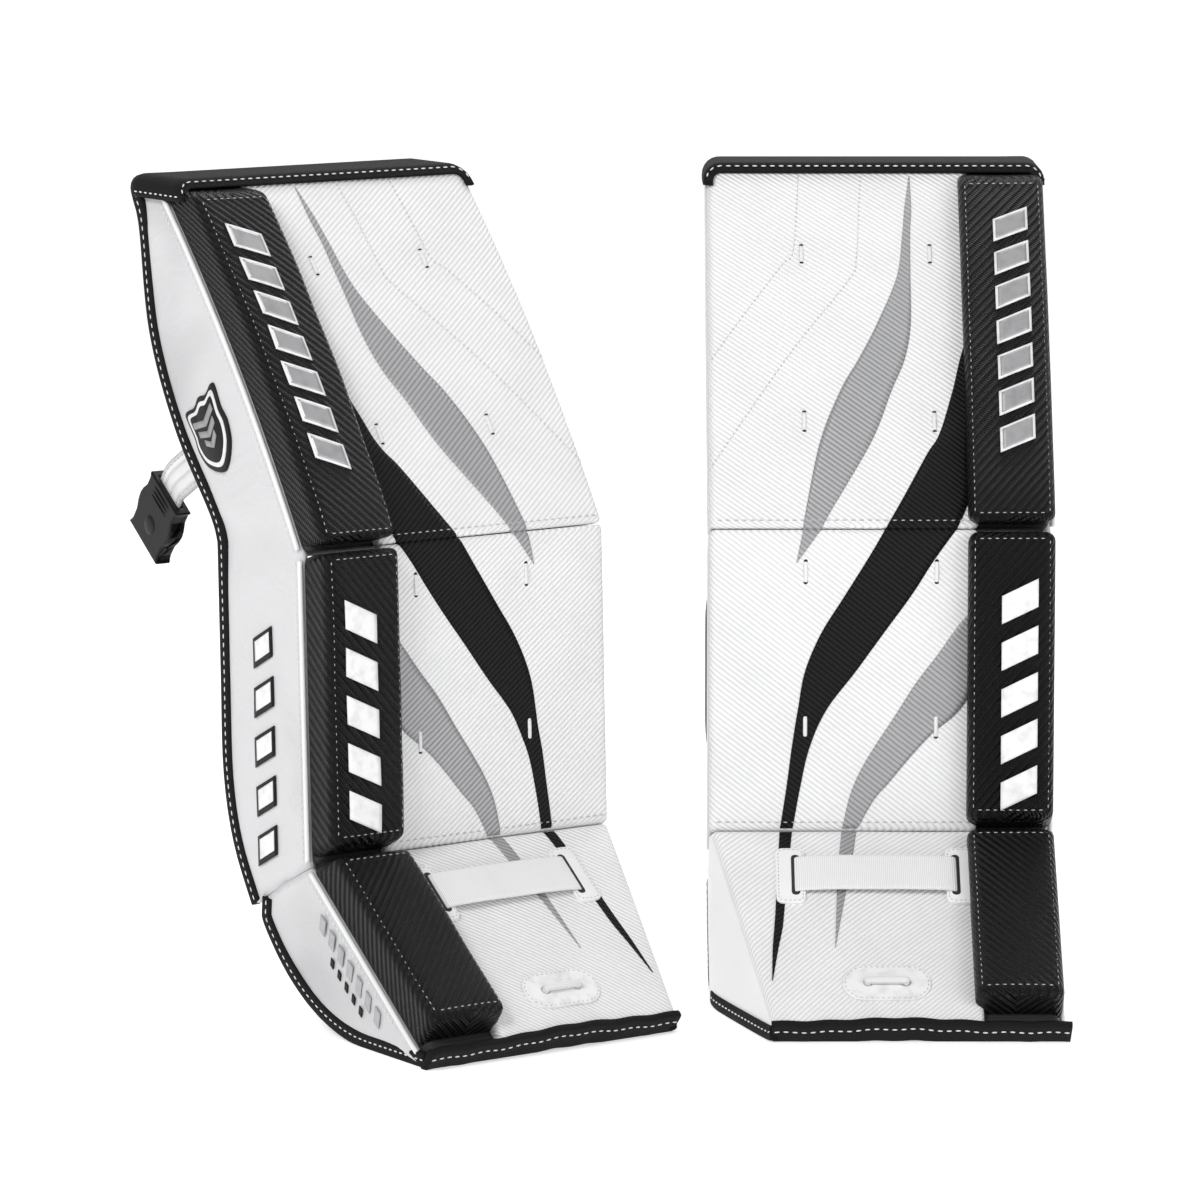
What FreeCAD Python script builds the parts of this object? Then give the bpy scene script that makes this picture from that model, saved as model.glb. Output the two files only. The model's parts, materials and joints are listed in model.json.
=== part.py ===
"""A pair of ice hockey goalie leg pads for a child, standing on their toes with their straps undone.

Each pad is built in its own frame: x is across the leg with the outer side positive, y runs from
the front of the pad to its back, z is up, and the boot break lies at y = 0. The right pad is the
left one mirrored. Millimetres and degrees.
"""
import FreeCAD, Part
import math
import os

# ---- The line of the outer seam, seen from the side ----
break_height = 91.0        # boot break above the floor
boot_kick = 52.5           # the boot leans forward by this, from vertical
shin_length = 175.0
shin_lean = 2.0            # the shin leans back by this, from vertical
thigh_length = 248.0
thigh_lean_low = 31.0      # lean of the thigh at the knee break
thigh_lean_high = 44.0     # lean of the thigh at its top

# ---- Across the pad ----
pad_width = 194.0
roll_width = 45.0
roll_height = 27.0         # crest of the outer roll in front of the seam line
roll_corner = 7.0
roll_crown = 1.5
roll_seat = 0.3            # the roll's underside lies this far above the foam
panel_thickness = 3.0
face_height = 14.0         # front of the face in front of the seam line
cover_thickness = 3.0
binding_width = 12.0

# ---- Depths behind the seam line ----
core_depth = 36.0          # shin and knee
boot_core_depth = 33.0
side_depth = 85.0          # outer side panel at the shin
thigh_side_bulge = 75.0    # outer side panel half way up the thigh
thigh_side_low = 71.0      # and a quarter of the way
thigh_side_high = 63.0     # and three quarters
top_edge_lean = 22.0       # lean of its back edge as it curves into the top
top_depth = 25.0           # the whole pad at its top edge
top_corner = 11.0
calf_side_low = 35.0       # the outer side keeps its full depth down to here, above the boot break
calf_side_bend = (74.0, 94.0)      # a point (y, z) where its lower edge curves in
calf_side_heel = 46.0      # height where that curve ends
heel_reach = 47.0          # back edge of the boot flap, behind the boot break
heel_height = 55.0         # where the flap's round underside meets that edge
sole_flat_end = 60.0       # the flap lies flat on the floor up to here, in front of the boot break

# ---- Breaks, where the pad flexes ----
face_gap = 0.6             # between two faces at a break
back_opening = 8.0         # angle of the gap behind a break
roll_gap = 6.0             # between two rolls at a break
roll_opening = 3.0

# ---- Toe ----
toe_setback = 36.0         # inner front corner of the toe, in from the pad's inner side
gusset_heel_y = -31.0      # where the slanted gusset meets the straight inner wall, at the floor
gusset_break_y = -6.0      # and at the height of the boot break

# ---- Knee block, knee wing, calf wing ----
block_width = 42.0
block_start = 30.0         # above the knee, along the back of the thigh
block_length = 75.0
block_depth = 30.0
wing_thickness = 10.0
wing_start = 32.0
wing_length = 80.0
wing_depth = 26.0
calf_wing_thickness = 12.0
calf_wing_low = 35.0       # above the boot break, along the shin
calf_wing_length = 103.0
calf_wing_depth = 46.0
soft_clearance = 0.5       # between two soft pieces that move apart
seam_clearance = 0.4       # between a strap and the edge that it swings from
liner_thickness = 3.0

# ---- Webbing, laces and their fittings ----
webbing_width = 25.0
webbing_thickness = 2.0
slot_clearance = 0.5       # all round a strap in its slot
patch_width = 14.0
patch_length = 39.0
patch_shift = 2.8          # the patches' middles lie this far outside the slots
patch_thickness = 2.0
boot_strap_place = 43.0    # below the boot break, along the boot
boot_strap_inner = -50.0   # the strap's two legs, across the pad
boot_strap_outer = 42.0
boot_strap_clear = 6.0     # the legs turn level this far behind the foam
boot_strap_back = 60.0     # the strap behind the skate, behind the boot break
toe_plate_place = 121.0
toe_plate_length = 49.0
toe_plate_width = 25.0
toe_plate_thickness = 2.0
lace_radius = 2.1
lace_hole_radius = 2.5
lace_spacing = 21.0
lace_depth = 12.0
tack_width = 1.8
tack_length = 12.0
tack_height = 1.2
tack_columns = (-43.0, 31.0)       # across the pad
thigh_tacks_at = (62.0, 172.0)     # above the knee, along the thigh
shin_tacks_at = (66.0, 154.0)      # above the boot break, along the shin

# ---- Badge on the outer side of the thigh ----
badge_place = (100.0, 42.0)        # along the thigh, and behind the seam
badge_height = 46.0
badge_width = 36.0
badge_thickness = 2.0
badge_crown = 2.0          # rise of its top edge's middle
badge_belly = (0.7, 0.62)  # its lower sides bow through this share of half its width and height

# ---- Side-release buckle, in two halves ----
buckle_width = 33.0
buckle_thickness = 10.0
socket_length = 40.0
mouth_width = 24.0
mouth_thickness = 6.4
mouth_depth = 24.0
window_start = 3.0         # the side windows begin this far from the mouth's bottom
window_length = 9.0
webbing_play = 0.2         # between webbing and its slot in a buckle
prong_play = 0.7           # between the clip and the mouth, on each side
strap_tail = 8.0           # webbing inside a buckle half
clip_body_length = 14.0
prong_length = 20.0
prong_width = 4.0
knee_strap_place = 100.0   # above the knee, along the thigh
knee_strap_drop = (30.0, 52.0)     # below level, at the pad and at the buckle
knee_strap_runs = (30.0, 16.0)
knee_strap_inset = 1.5     # its line starts this far inside the panel's deepest point
back_strap_length = 85.0
back_strap_shift = 7.0     # its middle lies this far outward of the knee block's middle
back_strap_place = 60.0    # above the knee block's lower end, along its back

# ---- Where the two pads stand ----
left_place = (157.0, 0.0)
right_place = (-84.0, -33.0)
right_turn = 35.0

# ---- Values worked out from those above ----
half_width = pad_width / 2
wall = half_width - panel_thickness            # inner face of a side panel
roll_inner = half_width - roll_width
core_height = face_height - cover_thickness    # front of the foam
far = 400.0                                    # further than any piece reaches


def direction(lean):
    """Unit vector (y, z) that leans back from vertical by this many degrees."""
    angle = math.radians(lean)
    return math.sin(angle), math.cos(angle)


def offset(point, along, length):
    return point[0] + along[0] * length, point[1] + along[1] * length


def front_of(lean):
    """Unit vector (y, z) square to a surface with this lean, pointing to its front."""
    return direction(lean - 90.0)


boot_break = (0.0, break_height)
knee_break = offset(boot_break, direction(shin_lean), shin_length)
thigh_radius = thigh_length / math.radians(thigh_lean_high - thigh_lean_low)
thigh_centre = offset(knee_break, front_of(thigh_lean_low), -thigh_radius)
boot_length = break_height / math.cos(math.radians(boot_kick))


def on_shin(s, n=0.0):
    """Point s above the boot break and n in front of the seam."""
    return offset(offset(boot_break, direction(shin_lean), s), front_of(shin_lean), n)


def on_boot(s, n=0.0):
    """Point s below the boot break, along the boot, and n in front of the seam."""
    return offset(offset(boot_break, direction(boot_kick), -s), front_of(boot_kick), n)


def thigh_lean(s):
    return thigh_lean_low + math.degrees(s / thigh_radius)


def on_thigh(s, n=0.0):
    """Point s above the knee break, along the curved thigh, and n in front of the seam."""
    return offset(thigh_centre, front_of(thigh_lean(s)), thigh_radius + n)


top_height = on_thigh(thigh_length)[1]
top_back = (on_thigh(thigh_length)[0] + top_depth, top_height)

# The foam's flat back along the thigh runs from the knee to the pad's top.
back_low = on_thigh(0.0, -core_depth)
back_high = (top_back[0] - panel_thickness, top_height)
back_lean = math.degrees(math.atan2(back_high[0] - back_low[0], back_high[1] - back_low[1]))


def behind_thigh(a, b=0.0):
    """Point a above the knee, along the foam's flat back, and b behind that back."""
    return offset(offset(back_low, direction(back_lean), a), front_of(back_lean), -b)


# ---- Shapes ----
def vec(x, point):
    return FreeCAD.Vector(x, point[0], point[1])


def wire(start, steps, to_vector):
    """Closed wire: each step is an end point, or a pair (point on the arc, end point)."""
    edges = []
    here = start
    for step in steps + [start]:
        if isinstance(step[0], tuple):
            arc = Part.Arc(to_vector(here), to_vector(step[0]), to_vector(step[1]))
            edges.append(arc.toShape())
            here = step[1]
        elif to_vector(here).distanceToPoint(to_vector(step)) > 1e-6:
            edges.append(Part.LineSegment(to_vector(here), to_vector(step)).toShape())
            here = step
    return Part.Wire(edges)


def prism(x0, x1, start, *steps):
    """Solid between two planes across the pad, with a side outline in (y, z)."""
    outline = wire(start, list(steps), lambda point: vec(x0, point))
    return Part.Face(outline).extrude(FreeCAD.Vector(x1 - x0, 0, 0))


def one(*shapes):
    """The shapes joined into one solid, with no seams between flat faces."""
    joined = shapes[0]
    for shape in shapes[1:]:
        joined = joined.fuse(shape)
    return joined.removeSplitter()


def band(x0, x1, width, points):
    """Flat strap lying in a plane across the pad, as wide as width, along a line of points."""
    sides = ([], [])
    for i, point in enumerate(points):
        before = points[max(i - 1, 0)]
        after = points[min(i + 1, len(points) - 1)]
        first = math.atan2(point[1] - before[1], point[0] - before[0])
        last = math.atan2(after[1] - point[1], after[0] - point[0])
        if i == 0:
            first = last
        if i == len(points) - 1:
            last = first
        middle = (first + last) / 2
        reach = width / 2 / math.cos((last - first) / 2)
        square = (-math.sin(middle), math.cos(middle))
        sides[0].append(offset(point, square, reach))
        sides[1].append(offset(point, square, -reach))
    outline = sides[0] + sides[1][::-1]
    return prism(x0, x1, *outline)


# ---- Breaks ----
class Break:
    """A sewn crease across the face, about which the pad flexes."""

    def __init__(self, point, lean_above, lean_below):
        self.slope = (lean_above + lean_below) / 2
        half_turn = math.radians(abs(lean_above - lean_below) / 2)
        depth = (face_height - cover_thickness / 2) / math.cos(half_turn)
        self.pivot = offset(point, front_of(self.slope), depth)

    def side(self, up, gap=face_gap, at_back=back_opening, at_front=roll_opening):
        """All the space above the crease (up = 1) or below it (up = -1)."""
        start = offset(self.pivot, direction(self.slope), up * gap / 2)
        back = offset(start, front_of(self.slope - up * at_back / 2), -far)
        front = offset(start, front_of(self.slope + up * at_front / 2), far)
        rise = 2 * far * up
        corners = [back, (back[0], back[1] + rise), (front[0], front[1] + rise), front]
        return prism(-far, far, start, *corners)


knee = Break(knee_break, thigh_lean_low, shin_lean)
ankle = Break(boot_break, shin_lean, boot_kick)


def below(height):
    return prism(-far, far, (-far, -far), (far, -far), (far, height), (-far, height))


thigh_zone = knee.side(1).common(below(top_height))
shin_zone = knee.side(-1).common(ankle.side(1))
boot_zone = ankle.side(-1)


# ---- Sections of the pad, before the breaks divide them ----
spare = 30.0       # how far a piece runs past a break before it is trimmed


def thigh_slab(x0, x1, front):
    """Solid of the thigh between its front and the foam's flat back."""
    top = thigh_length + spare
    high = behind_thigh(thigh_length + 2 * spare)
    return prism(x0, x1, on_thigh(-spare, front),
                 (on_thigh(top / 2, front), on_thigh(top, front)), high, behind_thigh(-spare))


def shin_slab(x0, x1, front, back=-core_depth):
    corners = [on_shin(shin_length + spare, front), on_shin(shin_length + spare, back),
               on_shin(-2 * spare, back)]
    return prism(x0, x1, on_shin(-2 * spare, front), *corners)


def boot_slab(x0, x1, front):
    """Solid of the boot, with its toe cut square and its underside flat on the floor."""
    sine = math.sin(math.radians(boot_kick))
    cosine = math.cos(math.radians(boot_kick))
    heel = on_boot((break_height - boot_core_depth * sine) / cosine, -boot_core_depth)
    corners = [on_boot(boot_length, front), on_boot(boot_length), heel,
               on_boot(-2 * spare, -boot_core_depth)]
    return prism(x0, x1, on_boot(-2 * spare, front), *corners)


def foam(slab):
    """Foam block with a rebate in front for the outer roll."""
    return one(slab(-wall, roll_inner, core_height), slab(roll_inner, wall, 0.0))


def roll_face(place):
    """Cross-section of the outer roll; place gives the (y, z) of a height above the seam."""
    shoulder = roll_height - roll_crown
    soft = roll_corner * (1 - math.sqrt(0.5))
    inner, outer = roll_inner, half_width
    steps = [(inner, shoulder - roll_corner),
             ((inner + soft, shoulder - soft), (inner + roll_corner, shoulder)),
             (((inner + outer) / 2, roll_height), (outer - roll_corner, shoulder)),
             ((outer - soft, shoulder - soft), (outer, shoulder - roll_corner)),
             (outer, roll_seat)]
    return Part.Face(wire((inner, roll_seat), steps, lambda p: vec(p[0], place(p[1]))))


def along(lean, length):
    y, z = direction(lean)
    return FreeCAD.Vector(0, y * length, z * length)


# ---- Thigh ----
def thigh_side_outline():
    """Outer side of the thigh: it swells behind the knee and narrows to the top."""
    low = on_shin(shin_length, -side_depth)
    waist = on_thigh(thigh_length * 0.25, -thigh_side_low)
    middle = on_thigh(thigh_length * 0.5, -thigh_side_bulge)
    upper = on_thigh(thigh_length * 0.75, -thigh_side_high)
    corner = (top_back[0], top_height - 2 * top_corner)
    bend = offset(corner, direction(top_edge_lean), -spare)
    soft = top_corner * (1 - math.sqrt(0.5))
    steps = [(on_thigh(thigh_length / 2), on_thigh(thigh_length)),
             (top_back[0] - top_corner, top_height),
             ((top_back[0] - soft, top_height - soft), (top_back[0], top_height - top_corner)),
             corner, (bend, upper), (middle, waist), low, on_shin(shin_length - 2 * spare, -side_depth)]
    return [on_thigh(0.0)] + steps + [on_shin(shin_length - 2 * spare)]


def thigh_pieces():
    face = thigh_slab(-half_width, roll_inner, face_height).cut(
        thigh_slab(-half_width - 1, roll_inner + 1, core_height))
    cut = knee.side(1, gap=roll_gap).common(below(top_height - binding_width))
    start = roll_face(lambda n: on_thigh(-spare, n))
    turn = math.degrees((thigh_length + 2 * spare) / thigh_radius)
    roll = start.revolve(vec(0, thigh_centre), FreeCAD.Vector(-1, 0, 0), turn)
    return {
        "thigh_core": foam(thigh_slab).common(thigh_zone),
        "thigh_face": face.common(thigh_zone),
        "thigh_roll": roll.common(cut),
        "thigh_outer_panel": prism(wall, half_width, *thigh_side_outline()).common(thigh_zone),
        "thigh_inner_panel": thigh_slab(-half_width, -wall, core_height).common(thigh_zone),
        "thigh_tacks": tacks(thigh_tacks_at, on_thigh, thigh_lean),
        "thigh_badge": badge(),
        "knee_block": knee_block(),
    }


def box_on(corner, lean, x0, x1, up, back):
    """Box that starts at corner and runs up a surface with this lean and back from it."""
    raised = offset(corner, direction(lean), up)
    return prism(x0, x1, corner, raised, offset(raised, front_of(lean), -back),
                 offset(corner, front_of(lean), -back))


def knee_block():
    """Foam landing block behind the inner half of the knee."""
    return box_on(behind_thigh(block_start), back_lean, -wall, -wall + block_width,
                  block_length, block_depth)


def tacks(places, surface, lean_at):
    """Short stitches of flat lace that hold the face to the foam."""
    bars = []
    for s in places:
        lean = lean_at(s)
        low = offset(surface(s, face_height + tack_height), direction(lean), -tack_length / 2)
        for x in tack_columns:
            bars.append(box_on(low, lean, x - tack_width / 2, x + tack_width / 2,
                               tack_length, tack_height))
    return Part.makeCompound(bars)


def badge():
    """Plain moulded shield on the outer side."""
    s, depth = badge_place
    lean = thigh_lean(s)
    middle = on_thigh(s, -depth)

    def at(across, up):
        return offset(offset(middle, direction(lean), up), front_of(lean), across)
    half = badge_width / 2
    top, foot = badge_height / 2, -badge_height / 2
    side, low = half * badge_belly[0], foot * badge_belly[1]
    steps = [(at(0, top + badge_crown), at(half, top)), at(half, 0),
             (at(side, low), at(0, foot)), (at(-side, low), at(-half, 0))]
    return prism(half_width, half_width + badge_thickness, at(-half, top), *steps)


# ---- Shin ----
def shin_pieces():
    face = shin_slab(-half_width, roll_inner, face_height, core_height)
    cut = knee.side(-1, gap=roll_gap).common(ankle.side(1, gap=roll_gap))
    roll = roll_face(lambda n: on_shin(-2 * spare, n)).extrude(along(shin_lean, shin_length + 3 * spare))
    edge = on_shin(shin_length + spare, -side_depth)
    turn = on_shin(calf_side_low, -side_depth)
    heel = (heel_reach, calf_side_heel)
    side = prism(wall, half_width, on_shin(-2 * spare), on_shin(shin_length + spare), edge, turn,
                 (calf_side_bend, heel))
    return {
        "shin_core": foam(shin_slab).common(shin_zone),
        "shin_face": face.common(shin_zone),
        "shin_roll": roll.common(cut),
        "shin_outer_panel": side.common(shin_zone),
        "shin_inner_panel": shin_slab(-half_width, -wall, core_height).common(shin_zone),
        "shin_tacks": tacks(shin_tacks_at, on_shin, lambda s: shin_lean),
        "leg_liner": shin_slab(-wall, wall, -core_depth, -core_depth - liner_thickness).common(shin_zone),
    }


def calf_wing():
    """Inner flap that folds round the calf."""
    start = on_shin(calf_wing_low, -core_depth - liner_thickness - soft_clearance)
    return box_on(start, shin_lean, -half_width, -half_width + calf_wing_thickness,
                  calf_wing_length, calf_wing_depth)


def knee_wing():
    """Outer flap that folds over the side of the knee."""
    outer = wall - soft_clearance
    return box_on(behind_thigh(wing_start, soft_clearance), back_lean, outer - wing_thickness, outer,
                  wing_length, wing_depth)


# ---- Boot ----
def boot_side_outline():
    """Side of the boot: flat under the toe, then one arc that leaves the floor and rises to the heel."""
    run = heel_reach + sole_flat_end
    radius = (run ** 2 + heel_height ** 2) / (2 * heel_height)
    half_turn = math.asin(run / radius) / 2
    middle = (radius * math.sin(half_turn) - sole_flat_end, radius * (1 - math.cos(half_turn)))
    return [on_boot(-2 * spare), on_boot(boot_length), (-sole_flat_end, 0.0),
            (middle, (heel_reach, heel_height)), (heel_reach, 2 * break_height)]


def outside_gusset(depth):
    """Space beyond the slanted inner front of the boot, depth inside its surface."""
    top = FreeCAD.Vector(-half_width, gusset_break_y, break_height)
    foot = FreeCAD.Vector(-half_width, gusset_heel_y, 0)
    toe = vec(-half_width + toe_setback, on_boot(boot_length, face_height))
    first = (foot - top).normalize()
    square = first.cross((toe - top).normalize()).normalize()
    if square.x > 0:
        square = square * -1
    second = square.cross(first)
    corners = [top + first * (far * i) + second * (far * j) - square * depth
               for i, j in ((-1, -1), (1, -1), (1, 1), (-1, 1), (-1, -1))]
    return Part.Face(Part.makePolygon(corners)).extrude(square * far)


def boot_strap_leg(x0, x1, width, front, back):
    """One leg of the boot strap: square through the boot, then level towards the heel."""
    bend = on_boot(boot_strap_place, -boot_core_depth - boot_strap_clear)
    return band(x0, x1, width, [on_boot(boot_strap_place, front), bend, (back, bend[1])])


def boot_strap():
    """Webbing across the front of the boot, through two slots and round the back of the skate."""
    front = face_height + patch_thickness + slot_clearance
    half = webbing_width / 2
    legs = [boot_strap_leg(x, x + webbing_thickness, webbing_width, front, boot_strap_back)
            for x in (boot_strap_inner, boot_strap_outer - webbing_thickness)]
    low = on_boot(boot_strap_place + half, front)
    run = box_on(low, boot_kick, boot_strap_inner, boot_strap_outer, webbing_width, -webbing_thickness)
    level = on_boot(boot_strap_place, -boot_core_depth - boot_strap_clear)[1]
    back = prism(boot_strap_inner, boot_strap_outer, (boot_strap_back, level - half),
                 (boot_strap_back, level + half), (boot_strap_back + webbing_thickness, level + half),
                 (boot_strap_back + webbing_thickness, level - half))
    return one(run, back, *legs)


def boot_strap_slots():
    """Clear way for the strap's legs."""
    width = webbing_width + 2 * slot_clearance
    cuts = [boot_strap_leg(x - slot_clearance, x + webbing_thickness + slot_clearance, width,
                           face_height + spare, boot_strap_back + spare)
            for x in (boot_strap_inner, boot_strap_outer - webbing_thickness)]
    return Part.makeCompound(cuts)


def stadium(x, s, length, width, bottom, thickness):
    """Round-ended plate on the boot's face, long across the pad."""
    side = box_on(on_boot(s + width / 2, bottom + thickness), boot_kick,
                  x - (length - width) / 2, x + (length - width) / 2, width, thickness)
    normal = FreeCAD.Vector(0, *front_of(boot_kick))
    ends = [Part.makeCylinder(width / 2, thickness, vec(x + turn * (length - width) / 2,
                                                       on_boot(s, bottom)), normal)
            for turn in (-1, 1)]
    return one(side, *ends)


def lace_rods(radius, bottom, top):
    """Round rods square to the boot's face, where the toe lace goes through."""
    normal = FreeCAD.Vector(0, *front_of(boot_kick))
    return [Part.makeCylinder(radius, top - bottom, vec(turn * lace_spacing / 2,
                                                        on_boot(toe_plate_place, bottom)), normal)
            for turn in (-1, 1)]


def toe_lace():
    """Lace that shows between the two holes of the toe plate."""
    top = face_height + toe_plate_thickness + lace_radius
    legs = lace_rods(lace_radius, face_height - lace_depth, top)
    bridge = Part.makeCylinder(lace_radius, lace_spacing,
                               vec(-lace_spacing / 2, on_boot(toe_plate_place, top)),
                               FreeCAD.Vector(1, 0, 0))
    knuckles = [Part.makeSphere(lace_radius, vec(turn * lace_spacing / 2,
                                                 on_boot(toe_plate_place, top)))
                for turn in (-1, 1)]
    return one(bridge, *legs, *knuckles)


def slot_patches():
    """Two stitched patches that frame the strap's slots."""
    plates = []
    for x, outward in ((boot_strap_inner, -1), (boot_strap_outer - webbing_thickness, 1)):
        middle = x + webbing_thickness / 2 + outward * patch_shift
        low = on_boot(boot_strap_place + patch_length / 2, face_height + patch_thickness)
        plates.append(box_on(low, boot_kick, middle - patch_width / 2, middle + patch_width / 2,
                             patch_length, patch_thickness))
    return Part.makeCompound(plates).cut(boot_strap_slots())


def boot_pieces():
    outer_skin = outside_gusset(0.0)
    inner_skin = outside_gusset(panel_thickness)
    slots = boot_strap_slots()
    holes = Part.makeCompound(lace_rods(lace_hole_radius, face_height - lace_depth, face_height + spare))
    face = boot_slab(-half_width, roll_inner, face_height).cut(
        boot_slab(-half_width - 1, roll_inner + 1, core_height))
    cut = ankle.side(-1, gap=roll_gap)
    length = boot_length - binding_width + 2 * spare
    roll = roll_face(lambda n: on_boot(boot_length - binding_width, n)).extrude(along(boot_kick, length))
    shell = one(prism(-half_width, roll_inner, *boot_side_outline()),
                boot_slab(-half_width, roll_inner, core_height))
    hollow = prism(-wall, roll_inner + 1, (-far, -far), (far, -far), (far, far), (-far, far))
    gusset = shell.common(boot_zone).cut(outer_skin).cut(hollow.cut(inner_skin))
    plate = stadium(0.0, toe_plate_place, toe_plate_length, toe_plate_width, face_height,
                    toe_plate_thickness)
    return {
        "boot_core": foam(boot_slab).common(boot_zone).cut(inner_skin).cut(slots).cut(holes),
        "boot_face": face.common(boot_zone).cut(outer_skin).cut(slots).cut(holes),
        "boot_roll": roll.common(cut),
        "boot_outer_flap": prism(wall, half_width, *boot_side_outline()).common(boot_zone),
        "boot_inner_gusset": gusset,
        "slot_patches": slot_patches(),
        "boot_strap": boot_strap(),
        "toe_plate": plate.cut(holes),
        "toe_lace": toe_lace(),
    }


# ---- Knee strap with the buckle's socket ----
def knee_strap_line():
    """Points along the strap: at the pad's edge, at its bend and at the buckle."""
    start = on_thigh(knee_strap_place, -thigh_side_bulge + knee_strap_inset)
    bend = offset(start, direction(90.0 + knee_strap_drop[0]), knee_strap_runs[0])
    end = offset(bend, direction(90.0 + knee_strap_drop[1]), knee_strap_runs[1])
    return start, bend, end


strap_outer = wall - seam_clearance
strap_middle = strap_outer - webbing_thickness / 2


def knee_strap():
    """Short webbing sewn at the back edge of the outer side, which hangs out behind it."""
    start, bend, end = knee_strap_line()
    way = direction(90.0 + knee_strap_drop[0])
    inside = offset(start, way, -webbing_width)
    strip = band(strap_outer - webbing_thickness, strap_outer, webbing_width, [inside, bend, end])
    side = prism(-far, far, *thigh_side_outline())
    side.translate(FreeCAD.Vector(0, way[0] * seam_clearance, way[1] * seam_clearance))
    return strip.cut(side)


def buckle_frame(x0, x1, s0, s1, half):
    """Box in line with the end of the knee strap, from s0 to s1 past the strap's end."""
    end = knee_strap_line()[2]
    way = direction(90.0 + knee_strap_drop[1])
    square = front_of(90.0 + knee_strap_drop[1])
    first, last = offset(end, way, s0), offset(end, way, s1)
    return prism(x0, x1, offset(first, square, -half), offset(first, square, half),
                 offset(last, square, half), offset(last, square, -half))


def buckle_socket():
    """Hollow half of the buckle, open at its far end and at both sides."""
    low = strap_middle - buckle_thickness / 2
    high = strap_middle + buckle_thickness / 2
    start = -strap_tail
    end = socket_length - strap_tail
    body = buckle_frame(low, high, start, end, buckle_width / 2)
    mouth = buckle_frame(strap_middle - mouth_thickness / 2, strap_middle + mouth_thickness / 2,
                         end - mouth_depth, end + 1, mouth_width / 2)
    window = buckle_frame(strap_middle - mouth_thickness / 2, strap_middle + mouth_thickness / 2,
                          end - mouth_depth + window_start,
                          end - mouth_depth + window_start + window_length, buckle_width)
    half_slot = webbing_thickness / 2 + webbing_play
    slot = buckle_frame(strap_middle - half_slot, strap_middle + half_slot, start - 1, webbing_play,
                        webbing_width / 2 + webbing_play)
    return body.cut(mouth).cut(window).cut(slot)


# ---- Back strap with the buckle's clip ----
def back_strap_top():
    """Upper end of the strap, just behind the knee block's back."""
    y, z = behind_thigh(block_start + back_strap_place, block_depth)
    return y + seam_clearance, z


back_strap_middle = -wall + block_width / 2 + back_strap_shift


def back_strap():
    y, z = back_strap_top()
    half = webbing_width / 2
    low = z - back_strap_length
    return prism(back_strap_middle - half, back_strap_middle + half, (y, z),
                 (y + webbing_thickness, z), (y + webbing_thickness, low), (y, low))


def clip_block(x0, x1, high, low, thickness):
    """Box hung below the back strap, from high to low past the strap's end."""
    y, z = back_strap_top()
    middle = y + webbing_thickness / 2
    end = z - back_strap_length
    return prism(x0, x1, (middle - thickness / 2, end + high), (middle + thickness / 2, end + high),
                 (middle + thickness / 2, end + low), (middle - thickness / 2, end + low))


def buckle_clip():
    """Half of the buckle with a spine and two springy prongs."""
    x = back_strap_middle
    half = buckle_width / 2
    body_end = strap_tail - clip_body_length
    body = clip_block(x - half, x + half, strap_tail, body_end, buckle_thickness)
    slot_half = webbing_width / 2 + webbing_play
    slot = clip_block(x - slot_half, x + slot_half, strap_tail + 1, -webbing_play,
                      webbing_thickness + 2 * webbing_play)
    thin = mouth_thickness - 2 * prong_play
    reach = mouth_width / 2 - prong_play
    prongs = [clip_block(x + side * reach - prong_width / 2 * (1 + side),
                         x + side * reach + prong_width / 2 * (1 - side),
                         body_end, body_end - prong_length, thin) for side in (-1, 1)]
    spine = clip_block(x - prong_width / 2, x + prong_width / 2, body_end, body_end - prong_length, thin)
    return one(body.cut(slot), spine, *prongs)


# ---- One pad, and the pair ----
def pad():
    pieces = {}
    pieces.update(thigh_pieces())
    pieces.update(shin_pieces())
    pieces.update(boot_pieces())
    pieces["knee_wing"] = knee_wing()
    pieces["calf_wing"] = calf_wing()
    pieces["knee_strap"] = knee_strap()
    pieces["buckle_socket"] = buckle_socket()
    pieces["back_strap"] = back_strap()
    pieces["buckle_clip"] = buckle_clip()
    return pieces


def stand(shape, side):
    """The piece where its pad stands."""
    placed = shape.copy()
    place, turn = left_place, 0.0
    if side == "right":
        placed = placed.mirror(FreeCAD.Vector(0, 0, 0), FreeCAD.Vector(1, 0, 0))
        place, turn = right_place, right_turn
    placed.rotate(FreeCAD.Vector(0, 0, 0), FreeCAD.Vector(0, 0, 1), turn)
    placed.translate(FreeCAD.Vector(place[0], place[1], 0))
    return placed


pieces = pad()
pair = {side + "_" + name: stand(shape, side)
        for side in ("left", "right") for name, shape in pieces.items()}

# The origin lies under the middle of the pair, on the floor.
box = Part.makeCompound(list(pair.values())).optimalBoundingBox(False)
shift = FreeCAD.Vector(-(box.XMin + box.XMax) / 2, -(box.YMin + box.YMax) / 2, -box.ZMin)
os.makedirs("parts", exist_ok=True)
for name, shape in pair.items():
    shape.translate(shift)
    shape.exportStep("parts/" + name + ".step")

print("pieces", len(pair), "size", [round(v, 1) for v in (box.XLength, box.YLength, box.ZLength)])
print("shift", [round(v, 3) for v in shift])
for label, crease in (("knee", knee), ("ankle", ankle)):
    print(label, "crease", [round(v, 3) for v in crease.pivot])
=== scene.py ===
"""A pair of ice hockey goalie leg pads for a child, standing on their toes. Metres and degrees."""
import bmesh
import bpy
import json
import math
from functools import partial
from mathutils import Matrix, Vector
from mathutils.noise import noise


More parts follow.
